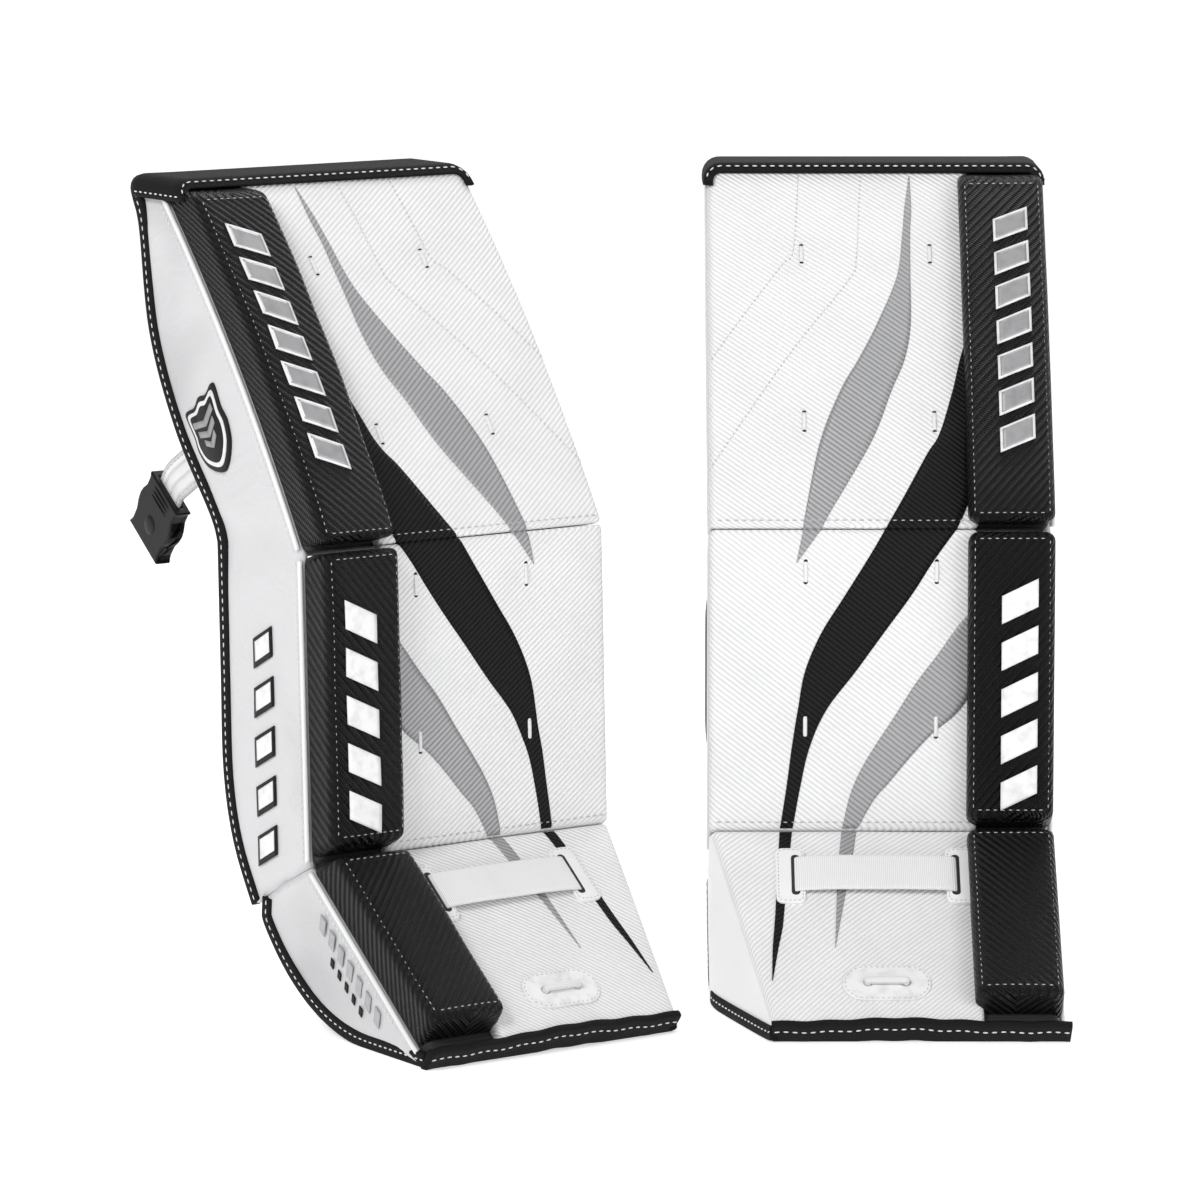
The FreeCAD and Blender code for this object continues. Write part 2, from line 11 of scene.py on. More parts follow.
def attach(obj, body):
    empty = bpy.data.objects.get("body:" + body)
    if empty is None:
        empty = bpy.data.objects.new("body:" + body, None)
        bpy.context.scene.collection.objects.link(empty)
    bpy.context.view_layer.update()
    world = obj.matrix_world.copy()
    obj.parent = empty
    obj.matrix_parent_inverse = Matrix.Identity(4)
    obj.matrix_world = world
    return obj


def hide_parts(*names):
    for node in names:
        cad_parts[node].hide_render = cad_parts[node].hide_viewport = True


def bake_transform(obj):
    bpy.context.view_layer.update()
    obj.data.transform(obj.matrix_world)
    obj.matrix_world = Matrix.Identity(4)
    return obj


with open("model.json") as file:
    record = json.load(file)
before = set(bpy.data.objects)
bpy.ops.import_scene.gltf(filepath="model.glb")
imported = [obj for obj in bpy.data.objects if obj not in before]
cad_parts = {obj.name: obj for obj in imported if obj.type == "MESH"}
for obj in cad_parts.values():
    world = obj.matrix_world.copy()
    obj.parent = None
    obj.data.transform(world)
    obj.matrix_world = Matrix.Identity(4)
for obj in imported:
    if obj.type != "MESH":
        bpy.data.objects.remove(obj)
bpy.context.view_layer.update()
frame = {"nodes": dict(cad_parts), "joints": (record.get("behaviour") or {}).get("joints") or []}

# ---- Studio ----
# A pale floor that runs up behind the pads as one smooth sweep, a broad soft light from
# the upper left, a weaker one from the right, and a long lens a little above the pads' middle.
camera_aim = Vector((0.0062, -0.0004, 0.2280))
camera_distance = 3.5
camera_rise = math.radians(8.85)
camera_lens, camera_sensor = 185.5, 36.0
floor_colour, floor_glow = (0.86, 0.86, 0.86), 0.50
floor_half_width, floor_run, floor_near = 9.0, 22.0, 8.0
floor_back, floor_bend, floor_rows = 6.0, 3.0, 80
light_aim = Vector((0, 0, 0.23))
sky_strength = 0.45

bpy.context.scene.view_settings.view_transform = "Standard"
camera_data = bpy.data.cameras.new("studio_camera")
camera_data.lens = camera_lens
camera_data.sensor_width = camera_sensor
camera = bpy.data.objects.new("studio_camera", camera_data)
bpy.context.scene.collection.objects.link(camera)
camera_way = Vector((0, -math.cos(camera_rise), math.sin(camera_rise)))
camera.location = camera_aim + camera_way * camera_distance
camera.rotation_euler = camera_way.to_track_quat("Z", "Y").to_euler()
bpy.context.scene.camera = camera


def finish(name, colour, roughness, **values):
    """A new material with the values that are the same all over it."""
    material = bpy.data.materials.new(name)
    material.use_nodes = True
    shader = material.node_tree.nodes["Principled BSDF"]
    shader.inputs["Base Color"].default_value = (*colour, 1.0)
    shader.inputs["Roughness"].default_value = roughness
    for key, value in values.items():
        shader.inputs[key.replace("_", " ")].default_value = value
    return material


def soft_floor():
    """The floor with its bend and its wall, as one smooth sheet."""
    bm = bmesh.new()
    bmesh.ops.create_grid(bm, x_segments=1, y_segments=floor_rows, size=1.0)
    for vert in bm.verts:
        run = (vert.co.y + 1) * floor_run / 2 - floor_near
        rise = max(0.0, run - floor_back)
        turn = min(rise / floor_bend, math.pi / 2)
        vert.co = Vector((vert.co.x * floor_half_width,
                          min(run, floor_back) + floor_bend * math.sin(turn),
                          floor_bend * (1 - math.cos(turn)) + max(0.0, rise - floor_bend * math.pi / 2)))
    for face in bm.faces:
        face.smooth = True
    mesh = bpy.data.meshes.new("studio_floor")
    bm.to_mesh(mesh)
    floor = bpy.data.objects.new("studio_floor", mesh)
    bpy.context.scene.collection.objects.link(floor)
    material = finish("studio_paper", floor_colour, 0.9, Emission_Color=(1.0, 1.0, 1.0, 1.0),
                      Emission_Strength=floor_glow)
    mesh.materials.append(material)


soft_floor()
for name, place, size, power in (("key_light", (-1.5, -2.1, 2.3), 1.1, 50.0),
                                 ("fill_light", (2.0, -1.7, 1.1), 1.2, 15.0),
                                 ("back_light", (0.6, 1.4, 2.4), 1.4, 24.0)):
    lamp = bpy.data.lights.new(name, "AREA")
    lamp.size = size
    lamp.energy = power
    light = bpy.data.objects.new(name, lamp)
    bpy.context.scene.collection.objects.link(light)
    light.location = place
    light.rotation_euler = (Vector(place) - light_aim).to_track_quat("Z", "Y").to_euler()
world = bpy.data.worlds.new("studio_world")
world.use_nodes = True
world.node_tree.nodes["Background"].inputs["Color"].default_value = (1.0, 1.0, 1.0, 1.0)
world.node_tree.nodes["Background"].inputs["Strength"].default_value = sky_strength
bpy.context.scene.world = world

# ---- White front covers ----
# Three sheets of white synthetic leather with an embossed diagonal twill, sewn to the foam of
# the thigh, the shin and the boot. They meet at two sewn creases, the knee and boot breaks.
break_height = 0.091
boot_kick, shin_lean, thigh_low, thigh_high = 52.5, 2.0, 31.0, 44.0
shin_length, thigh_length = 0.175, 0.248
boot_length = break_height / math.cos(math.radians(boot_kick))
half_width = 0.097
roll_edge = 0.0485
face_height = 0.014
knee_crease_depth = 0.00627
toe_inset = 0.034
back_spread = 4.0


def lean_way(angle):
    """Up a surface that leans back by this angle."""
    return Vector((0, math.sin(math.radians(angle)), math.cos(math.radians(angle))))


def face_way(angle):
    """Out of the front of a surface that leans back by this angle."""
    return lean_way(angle - 90.0)


boot_break = Vector((0, 0, break_height))
knee_break = boot_break + lean_way(shin_lean) * shin_length
thigh_radius = thigh_length / math.radians(thigh_high - thigh_low)
thigh_centre = knee_break - face_way(thigh_low) * thigh_radius
knee_turn = math.tan(math.radians((thigh_low - shin_lean) / 2))
boot_turn = math.tan(math.radians((boot_kick - shin_lean) / 2))
back_opening = math.tan(math.radians(back_spread))
top_slope = math.tan(math.radians(thigh_high))
sole_slope = math.tan(math.radians(boot_kick))


def thigh_lean(s):
    return thigh_low + math.degrees(s / thigh_radius)


def on_thigh(x, n, s):
    return Vector((x, 0, 0)) + thigh_centre + face_way(thigh_lean(s)) * (thigh_radius + n)


def on_shin(x, n, s):
    return Vector((x, 0, 0)) + boot_break + lean_way(shin_lean) * s + face_way(shin_lean) * n


def on_boot(x, n, s):
    """s runs down from the boot break to the toe."""
    return Vector((x, 0, 0)) + boot_break - lean_way(boot_kick) * s + face_way(boot_kick) * n


sections = {"thigh": (on_thigh, thigh_length), "shin": (on_shin, shin_length),
            "boot": (on_boot, boot_length)}


def ends(section, n):
    """Where a section begins and ends along itself, at a height n in front of the seam."""
    behind = max(0.0, face_height - n) * back_opening
    if section == "thigh":
        return -n * knee_turn + behind, thigh_length - n * top_slope
    if section == "shin":
        return n * boot_turn + behind, shin_length + n * knee_turn - behind
    return n * boot_turn + behind, boot_length + min(n, 0.0) * sole_slope


joints = {joint["name"]: joint for joint in frame["joints"]}
stands = {}
for side, mirror in (("left", 1), ("right", -1)):
    hinge = joints[side + "_knee_flex"]
    turn = Matrix.Rotation(math.atan2(hinge["axis"][1], hinge["axis"][0]), 4, "Z")
    foot = Vector(hinge["pos_m"]) + turn @ Vector((0, knee_crease_depth, 0))
    foot.z = 0.0
    stands[side] = Matrix.Translation(foot) @ turn @ Matrix.Diagonal((mirror, 1, 1, 1))


def make_pair(bm, name, materials, body, nodes=(), flat=False):
    """The left and the right piece of one shape, each on its own body. A piece given two bodies and the
    points between which it bends is put on no body and stays where it stands."""
    made = {}
    for side, stand in stands.items():
        copy = bm.copy()
        bmesh.ops.transform(copy, matrix=stand, verts=copy.verts)
        bmesh.ops.recalc_face_normals(copy, faces=copy.faces)
        for face in copy.faces:
            face.smooth = not flat
        mesh = bpy.data.meshes.new(side + "_" + name)
        copy.to_mesh(mesh)
        copy.free()
        for material in materials:
            mesh.materials.append(material)
        piece = bpy.data.objects.new(side + "_" + name, mesh)
        bpy.context.scene.collection.objects.link(piece)
        if nodes:
            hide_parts(*(side + "_" + node for node in nodes))
        if isinstance(body, str):
            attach(piece, side + "_" + body)
        else:
            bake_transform(piece)
        made[side] = piece
    bm.free()
    return made


def block(section, x0, x1, n0, n1, soft, step=0.006, gap=0.0003, far_gap=None, lift=0.0, low=None,
          swell=None):
    """A soft-edged slab of a section of the pad, from n0 to n1 in front of the seam. Its front
    rises by lift in the middle, and by swell at each place; low gives its back along the section."""
    place, length = sections[section]
    far_gap = gap if far_gap is None else far_gap
    bm = bmesh.new()
    bmesh.ops.create_cube(bm, size=1.0)
    bmesh.ops.scale(bm, vec=(x1 - x0, n1 - n0, length), verts=bm.verts)
    bmesh.ops.translate(bm, vec=((x0 + x1) / 2, (n0 + n1) / 2, length / 2), verts=bm.verts)
    bmesh.ops.bevel(bm, geom=bm.edges[:], offset=soft, segments=4, profile=0.5, affect="EDGES",
                    material=-1)
    for axis, first, last in ((0, x0, x1), (1, n0, n1), (2, 0.0, length)):
        count = max(1, round((last - first) / step))
        way = Vector([1.0 if i == axis else 0.0 for i in range(3)])
        for i in range(1, count):
            bmesh.ops.bisect_plane(bm, geom=bm.verts[:] + bm.edges[:] + bm.faces[:],
                                   plane_co=way * (first + (last - first) * i / count), plane_no=way)
    uv = bm.loops.layers.uv.new("hide")
    middle = (x0 + x1) / 2
    for face in bm.faces:
        outer = 1 if face.calc_center_median().x > middle else -1
        for loop in face.loops:
            x, n, t = loop.vert.co
            loop[uv].uv = (x + outer * (n1 - n), t)
    for vert in bm.verts:
        x, n, t = vert.co
        a, b = (x - middle) / (x1 - x0) * 2, t / length * 2 - 1
        depth = (n - n0) / (n1 - n0)
        n += lift * (1 - a ** 4) * (1 - b ** 8) * depth
        back = n0
        if low is not None:
            back = low(t / length)
            n = back + (n1 - back) * depth + (n - n0 - (n1 - n0) * depth)
        start, end = ends(section, n)
        s = start + gap + (end - far_gap - start - gap) * t / length
        if swell is not None:
            n += swell(section, x, s) * depth
        vert.co = place(x, n, s)
    return bm


def add(material, kind, **values):
    """A node of this kind in the material, with its settings and unlinked inputs."""
    made = material.node_tree.nodes.new("ShaderNode" + kind)
    for key, value in values.items():
        if hasattr(made, key):
            setattr(made, key, value)
        else:
            made.inputs[key.replace("_", " ")].default_value = value
    return made


def join(material, source, target):
    material.node_tree.links.new(source, target)


def ribbed(name, dark, light, spacing, turn, depth, rough, cross=None, **values):
    """A material with fine ribs that follow the piece: the dark colour, painted into the grooves as shade,
    and the light colour on the crests, their spacing, the way they turn and how deep they are."""
    material = finish(name, light, rough, **values)
    shader = material.node_tree.nodes["Principled BSDF"]
    place = add(material, "TexCoord")
    turned = add(material, "Mapping")
    turned.inputs["Rotation"].default_value = (0, 0, math.radians(turn))
    join(material, place.outputs["UV"], turned.inputs["Vector"])
    ribs = add(material, "TexWave", wave_type="BANDS", bands_direction="X", Distortion=0.35,
               Detail=2.0, Scale=2 * math.pi / 20 / spacing, Detail_Scale=2.0)
    join(material, turned.outputs["Vector"], ribs.inputs["Vector"])
    height = ribs.outputs["Fac"]
    if cross:
        second = add(material, "TexWave", wave_type="BANDS", bands_direction="Y", Distortion=0.2,
                     Scale=2 * math.pi / 20 / cross)
        join(material, turned.outputs["Vector"], second.inputs["Vector"])
        both = add(material, "Math", operation="MULTIPLY_ADD")
        both.inputs[1].default_value = 0.45
        join(material, second.outputs["Fac"], both.inputs[0])
        join(material, height, both.inputs[2])
        height = both.outputs[0]
    grain = add(material, "TexNoise", Scale=900.0, Detail=3.0)
    join(material, place.outputs["UV"], grain.inputs["Vector"])
    wear = add(material, "TexNoise", Scale=24.0, Detail=4.0)
    join(material, place.outputs["UV"], wear.inputs["Vector"])
    # Painted shade: the ribs' height picks the colour, dark in the grooves where shade falls and light on the
    # crests.
    ramp = add(material, "ValToRGB")
    ramp.color_ramp.elements[0].color = (*dark, 1.0)
    ramp.color_ramp.elements[1].color = (*light, 1.0)
    ramp.color_ramp.elements[0].position = 0.05
    ramp.color_ramp.elements[1].position = 0.5
    join(material, height, ramp.inputs["Fac"])
    shade = add(material, "MapRange", From_Min=0.3, From_Max=0.7, To_Min=0.93, To_Max=1.0)
    join(material, wear.outputs["Fac"], shade.inputs["Value"])
    mixed = add(material, "Mix", data_type="RGBA", blend_type="MULTIPLY")
    mixed.inputs["Factor"].default_value = 1.0
    join(material, ramp.outputs["Color"], mixed.inputs[6])
    join(material, shade.outputs["Result"], mixed.inputs[7])
    join(material, mixed.outputs[2], shader.inputs["Base Color"])
    dull = add(material, "MapRange", To_Min=min(1.0, rough + 0.22), To_Max=rough)
    join(material, height, dull.inputs["Value"])
    join(material, dull.outputs["Result"], shader.inputs["Roughness"])
    fine = add(material, "Bump", Strength=0.12, Distance=0.0002)
    join(material, grain.outputs["Fac"], fine.inputs["Height"])
    bump = add(material, "Bump", Strength=1.0, Distance=depth)
    join(material, height, bump.inputs["Height"])
    join(material, fine.outputs["Normal"], bump.inputs["Normal"])
    join(material, bump.outputs["Normal"], shader.inputs["Normal"])
    return material


cap_corner = 0.0078
top = on_thigh(0, 0, thigh_length)


def round_top(bm):
    """Rounds the thigh's two upper corners, seen from the front."""
    for vert in bm.verts:
        reach = min(cap_corner, max(0.0, abs(vert.co.x) - half_width + cap_corner))
        drop = cap_corner - math.sqrt(cap_corner ** 2 - reach ** 2)
        vert.co.z = min(vert.co.z, top.z - drop)


tack_columns = (-0.043, 0.031)
tack_rows = {"thigh": (0.062, 0.172), "shin": (0.066, 0.154), "boot": ()}
tack_dimple, tack_reach, cover_wave = 0.0012, 0.009, 0.0007


def cover_swell(section, x, s):
    """How far a cover stands out of its crown: soft waves, and a dimple round each lace tack."""
    seed = {"thigh": 1.0, "shin": 4.0, "boot": 7.0}[section]
    rise = noise(Vector((x * 16, s * 13, seed))) * cover_wave
    for column in tack_columns:
        for row in tack_rows[section]:
            rise -= tack_dimple * math.exp(-((x - column) ** 2 + (s - row) ** 2) / tack_reach ** 2)
    return rise


def narrow_toe(bm, inset_at_toe, outermost):
    """Draws the boot's inner side in towards the toe, and the rest less and less towards the roll.
    Places beyond outermost move as far as outermost does."""
    for vert in bm.verts:
        down = (boot_break - vert.co).dot(lean_way(boot_kick))
        inset = inset_at_toe * min(1.0, max(0.0, down / boot_length))
        vert.co.x += inset * (roll_edge - min(vert.co.x, outermost)) / (roll_edge + half_width)


cover_soft, cover_lift, cover_tuck = 0.0032, 0.0012, 0.006
cover_back, cover_cell, cover_gap = 0.004, 0.006, 0.00005
twill_spacing, twill_turn, twill_depth = 0.0026, -52.0, 0.0004
# The grey in the twill's grooves is painted shade on the white leather.
white_twill = ribbed("white_twill", (0.70, 0.70, 0.71), (0.90, 0.90, 0.90), twill_spacing, twill_turn,
                     twill_depth, 0.36, Specular_IOR_Level=0.45)
for section in sections:
    shape = block(section, -half_width, roll_edge + cover_tuck, cover_back, face_height, cover_soft,
                  cover_cell, gap=cover_gap, lift=cover_lift, swell=cover_swell)
    round_top(shape)
    if section == "boot":
        narrow_toe(shape, toe_inset, roll_edge + cover_tuck)
    make_pair(shape, section + "_cover", [white_twill], section, [section + "_face"])

# ---- Foam bodies with their back covers ----
# Each section is a block of dense foam in a cover of black nylon that shows at the back. The
# boot's block is cut flat underneath, where the pad stands on the floor.
core_depth, boot_core_depth, cover_inset = 0.036, 0.033, 0.0025
body_front, body_soft, body_cell, body_fill = 0.008, 0.004, 0.009, 0.9
body_toe_inset, sole_cut = toe_inset + 0.002, 0.0006
thigh_depth_change, thigh_bow = 0.0202, 0.028


def thigh_back(f):
    """Depth of the thigh's flat back behind its curved seam line."""
    return -core_depth + thigh_depth_change * f - thigh_bow * f * (1 - f)


def knit(name, dark, light, spacing, depth, rough, **values):
    """A woven cloth whose threads cross, on a piece's own place in space."""
    material = finish(name, light, rough, **values)
    shader = material.node_tree.nodes["Principled BSDF"]
    place = add(material, "TexCoord")
    waves = []
    for way in ("X", "Y", "Z"):
        wave = add(material, "TexWave", wave_type="BANDS", bands_direction=way, Distortion=0.6,
                   Detail=1.0, Scale=2 * math.pi / 20 / spacing)
        join(material, place.outputs["Object"], wave.inputs["Vector"])
        waves.append(wave.outputs["Fac"])
    first = add(material, "Math", operation="MAXIMUM")
    join(material, waves[0], first.inputs[0])
    join(material, waves[1], first.inputs[1])
    weave = add(material, "Math", operation="MULTIPLY")
    join(material, first.outputs[0], weave.inputs[0])
    join(material, waves[2], weave.inputs[1])
    patchy = add(material, "TexNoise", Scale=35.0, Detail=5.0)
    join(material, place.outputs["Object"], patchy.inputs["Vector"])
    blend = add(material, "Math", operation="MULTIPLY_ADD")
    join(material, patchy.outputs["Fac"], blend.inputs[0])
    blend.inputs[1].default_value = 0.5
    join(material, weave.outputs[0], blend.inputs[2])
    # The colour follows the weave: darker where it is low, which is painted shade between the threads, with
    # patchy noise for uneven tone.
    ramp = add(material, "ValToRGB")
    ramp.color_ramp.elements[0].color = (*dark, 1.0)
    ramp.color_ramp.elements[1].color = (*light, 1.0)
    join(material, blend.outputs[0], ramp.inputs["Fac"])
    join(material, ramp.outputs["Color"], shader.inputs["Base Color"])
    bump = add(material, "Bump", Strength=0.8, Distance=depth)
    join(material, weave.outputs[0], bump.inputs["Height"])
    join(material, bump.outputs["Normal"], shader.inputs["Normal"])
    return material


def stand_flat(bm, lowest=0.0):
    """Cuts a piece level with the floor, or just above it."""
    for vert in bm.verts:
        vert.co.z = max(vert.co.z, lowest)


black_nylon = knit("black_nylon", (0.008, 0.008, 0.009), (0.035, 0.035, 0.038), 0.0011, 0.0002, 0.62,
                   Specular_IOR_Level=0.25, Sheen_Weight=0.06, Sheen_Roughness=0.5)
inside = half_width - cover_inset
for section in sections:
    back = -boot_core_depth if section == "boot" else -core_depth
    shape = block(section, -inside, inside, back, body_front, body_soft, body_cell,
                  low=thigh_back if section == "thigh" else None)
    round_top(shape)
    if section == "boot":
        narrow_toe(shape, body_toe_inset, roll_edge)
        stand_flat(shape, sole_cut)
    make_pair(shape, section + "_body", [black_nylon], section, [section + "_core"])

# ---- Outer rolls ----
# Padded tubes down the outer front edge, one on each section, in black synthetic leather with a
# pressed carbon weave. They are stuffed firm and sewn to the foam beside the white covers.
roll_height, roll_soft, roll_lift, roll_cell = 0.0268, 0.0055, 0.0016, 0.0045
roll_wave, roll_fill = 0.0010, 0.85
roll_seat, roll_out = 0.0002, 0.0004
roll_gap = 0.003
roll_far_gap = {"thigh": 0.0055, "shin": roll_gap, "boot": 0.012}


def roll_swell(section, x, s):
    """The soft waves of a stuffed roll."""
    seed = {"thigh": 2.0, "shin": 5.0, "boot": 8.0}[section]
    return noise(Vector((x * 22, s * 26, seed))) * roll_wave


# Painted shade and highlight: near-black in the grooves, and the lighter crests stand for the gloss along the
# ribs.
carbon_weave = ribbed("carbon_weave", (0.0006, 0.0006, 0.0006), (0.007, 0.007, 0.0075), 0.0042, 38.0,
                      0.0013, 0.24, cross=0.0014, Specular_IOR_Level=0.20)
for section, far_gap in roll_far_gap.items():
    shape = block(section, roll_edge, half_width + roll_out, roll_seat, roll_height, roll_soft, roll_cell,
                  gap=roll_gap, far_gap=far_gap, lift=roll_lift, swell=roll_swell)
    make_pair(shape, section + "_padded_roll", [carbon_weave], section, [section + "_roll"])

# ---- Outer sides ----
# A smooth pale leather panel over thin padding from the boot break to the top of the thigh. Its
# front edge is sewn under the rolls, and its back edge is bound with black tape. It bends at the
# knee break. Below it a second panel closes the outer side of the boot down to the floor.
side_depth, top_depth, panel_padding, panel_thickness = 0.085, 0.025, 0.0026, 0.0034
side_columns, flap_columns, under_seam = 20, 18, 0.0006
thigh_bulge = ((0.25, 0.071), (0.50, 0.075), (0.75, 0.063))
heel_reach, heel_height, sole_flat = 0.047, 0.055, 0.060
crease_way = Vector((0, 0.889, -0.458))


def smooth_line(points, steps=8):
    """A soft line through the points."""
    line = []
    for i in range(len(points) - 1):
        a, b, c, d = (points[max(i - 1, 0)], points[i], points[i + 1], points[min(i + 2, len(points) - 1)])
        for k in range(steps):
            t = k / steps
            line.append(0.5 * (2 * b + (c - a) * t + (2 * a - 5 * b + 4 * c - d) * t ** 2
                               + (3 * b - a - 3 * c + d) * t ** 3))
    return line + [points[-1]]


def spread(line, count):
    """The same line with its points evenly spaced."""
    runs = [(b - a).length for a, b in zip(line, line[1:])]
    total, even, i, passed = sum(runs), [line[0]], 0, 0.0
    for k in range(1, count):
        want = total * k / count
        while i < len(runs) - 1 and passed + runs[i] < want:
            passed += runs[i]
            i += 1
        even.append(line[i].lerp(line[i + 1], (want - passed) / max(runs[i], 1e-9)))
    return even + [line[-1]]


def sheet_between(first, last, columns, rise, thick, way):
    """A closed sheet between two lines of points, raised in its middle and thick inwards."""
    bm = bmesh.new()
    rows = len(first) - 1
    bmesh.ops.create_grid(bm, x_segments=columns, y_segments=rows, size=0.5)
    uv = bm.loops.layers.uv.new("hide")
    for face in bm.faces:
        for loop in face.loops:
            u, i = loop.vert.co.x + 0.5, round((loop.vert.co.y + 0.5) * rows)
            loop[uv].uv = (u * (last[i] - first[i]).length, i / rows * 0.45)
    for vert in bm.verts:
        u, i = vert.co.x + 0.5, round((vert.co.y + 0.5) * rows)
        vert.co = first[i].lerp(last[i], u) + way * rise(u, i / rows)
    made = bmesh.ops.extrude_face_region(bm, geom=bm.faces[:])["geom"]
    inner = [item for item in made if isinstance(item, bmesh.types.BMVert)]
    bmesh.ops.translate(bm, vec=way * -thick, verts=inner)
    bmesh.ops.remove_doubles(bm, verts=bm.verts, dist=0.00002)
    return bm


def grained(name, colour, shade, grain, depth, rough, **values):
    """Leather with a pebbled grain and soft creases, and a mottle of its uneven tone with painted shade of
    soft folds.
    """
    material = finish(name, colour, rough, **values)
    shader = material.node_tree.nodes["Principled BSDF"]
    place = add(material, "TexCoord")
    pebble = add(material, "TexVoronoi", feature="SMOOTH_F1", Scale=1.0 / grain, Smoothness=0.4)
    crease = add(material, "TexNoise", Scale=26.0, Detail=5.0, Roughness=0.55, Distortion=0.8)
    soft = add(material, "TexNoise", Scale=9.0, Detail=2.0)
    for node in (pebble, crease, soft):
        join(material, place.outputs["Object"], node.inputs["Vector"])
    # The mottle between shade and colour is partly the leather's uneven tone, partly painted shade of soft
    # folds.
    ramp = add(material, "ValToRGB")
    ramp.color_ramp.elements[0].color = (*shade, 1.0)
    ramp.color_ramp.elements[1].color = (*colour, 1.0)
    ramp.color_ramp.elements[0].position = 0.32
    ramp.color_ramp.elements[1].position = 0.52
    join(material, soft.outputs["Fac"], ramp.inputs["Fac"])
    join(material, ramp.outputs["Color"], shader.inputs["Base Color"])
    dull = add(material, "MapRange", To_Min=rough - 0.08, To_Max=rough + 0.12)
    join(material, crease.outputs["Fac"], dull.inputs["Value"])
    join(material, dull.outputs["Result"], shader.inputs["Roughness"])
    fine = add(material, "Bump", Strength=0.55, Distance=depth)
    join(material, pebble.outputs["Distance"], fine.inputs["Height"])
    wide = add(material, "Bump", Strength=0.5, Distance=0.004)
    join(material, crease.outputs["Fac"], wide.inputs["Height"])
    join(material, fine.outputs["Normal"], wide.inputs["Normal"])
    join(material, wide.outputs["Normal"], shader.inputs["Normal"])
    return material


# The darker mottle on the pale panels is partly painted shade of their folds.
pale_leather = grained("pale_leather", (0.64, 0.64, 0.65), (0.50, 0.50, 0.51), 0.0011, 0.00016, 0.40,
                       Specular_IOR_Level=0.4)
shin_rows, thigh_rows, side_top_gap = 22, 36, 0.003
top_back = top + Vector((0, top_depth, 0))
crease_start = boot_break + Vector((0, -0.0123, 0.0063))
side_crease_depth, flap_crease_depth = 0.0785, 0.0655
shin_back = [crease_start + crease_way * side_crease_depth, Vector((0, 0.0765, 0.094)),
             on_shin(0, -side_depth, 0.045), on_shin(0, -side_depth, 0.10),
             on_shin(0, -side_depth + 0.0005, shin_length)]
thigh_back_edge = [shin_back[-1]]
thigh_back_edge += [on_thigh(0, -depth, thigh_length * f) for f, depth in thigh_bulge]
thigh_back_edge += [top_back + Vector((0, y, z)) for y, z in ((-0.0085, -0.026), (-0.0005, -0.009),
                                                              (-0.0035, -0.002))]
shin_back = spread(smooth_line(shin_back), shin_rows)
thigh_back_edge = spread(smooth_line(thigh_back_edge), thigh_rows)
side_front = [on_shin(0, -under_seam, shin_length * i / shin_rows) for i in range(shin_rows)]
side_front += [on_thigh(0, -under_seam, (thigh_length - side_top_gap) * i / thigh_rows)
               for i in range(thigh_rows + 1)]
side_back = shin_back[:-1] + thigh_back_edge
side_at = half_width - 0.0012


def fullness(u):
    """How full the padding is across a panel: nothing at its two edges, all in its middle."""
    return max(0.0, math.sin(math.pi * min(1, max(0, u)))) ** 0.45


def side_rise(u, v):
    """The panel's padding: flat at its edges, fuller between them, with a soft dip at the knee."""
    knee = math.exp(-((v - 0.40) / 0.035) ** 2) * 0.0014
    wave = noise(Vector((u * 2.2, v * 7.0, 3.0))) * 0.0011
    wave += noise(Vector((u * 1.6 + v * 4.0, v * 15.0, 5.0))) * 0.0012 * math.exp(-((v - 0.42) / 0.13) ** 2)
    under_cap = min(1.0, max(0.0, (0.97 - v) / 0.06))
    return (panel_padding + wave - knee) * under_cap * fullness(u)


def flap_rise(u, v):
    """The padding of the boot's side."""
    return (panel_padding + noise(Vector((u * 3, v * 5, 9.0))) * 0.001) * fullness(u)


out = Vector((1, 0, 0))
knee_bend, boot_bend = 0.022, Vector((0, -0.012, -0.022))
knee_fold = ("shin", "thigh", on_shin(0, 0, shin_length - knee_bend), on_shin(0, 0, shin_length + knee_bend))
boot_fold = ("shin", "boot", boot_break + crease_way * 0.01, boot_break + crease_way * 0.01 + boot_bend)
shape = sheet_between([p + out * side_at for p in side_front], [p + out * side_at for p in side_back],
                      side_columns, side_rise, panel_thickness, out)
round_top(shape)
make_pair(shape, "outer_side", [pale_leather], knee_fold,
          ["thigh_outer_panel", "shin_outer_panel"])

flap_rows, sole_steps, sole_clear = 34, 10, 0.0008
run = heel_reach + sole_flat
sole_radius = (run ** 2 + heel_height ** 2) / (2 * heel_height)
sole_turn = math.asin(run / sole_radius)
flap_back = [crease_start + crease_way * flap_crease_depth, Vector((0, heel_reach, heel_height))]
for i in range(1, sole_steps + 1):
    angle = sole_turn * (1 - i / sole_steps)
    flap_back.append(Vector((0, sole_radius * math.sin(angle) - sole_flat,
                             sole_radius * (1 - math.cos(angle)) + sole_clear)))
flap_back.append(Vector((0, on_boot(0, 0, boot_length).y + 0.001, sole_clear)))
flap_back = spread(flap_back, flap_rows)
flap_front = [on_boot(0, -under_seam, (boot_length - 0.001) * i / flap_rows) for i in range(flap_rows + 1)]
shape = sheet_between([p + out * side_at for p in flap_front], [p + out * side_at for p in flap_back],
                      flap_columns, flap_rise, panel_thickness, out)
make_pair(shape, "boot_side", [pale_leather], boot_fold, ["boot_outer_flap"])

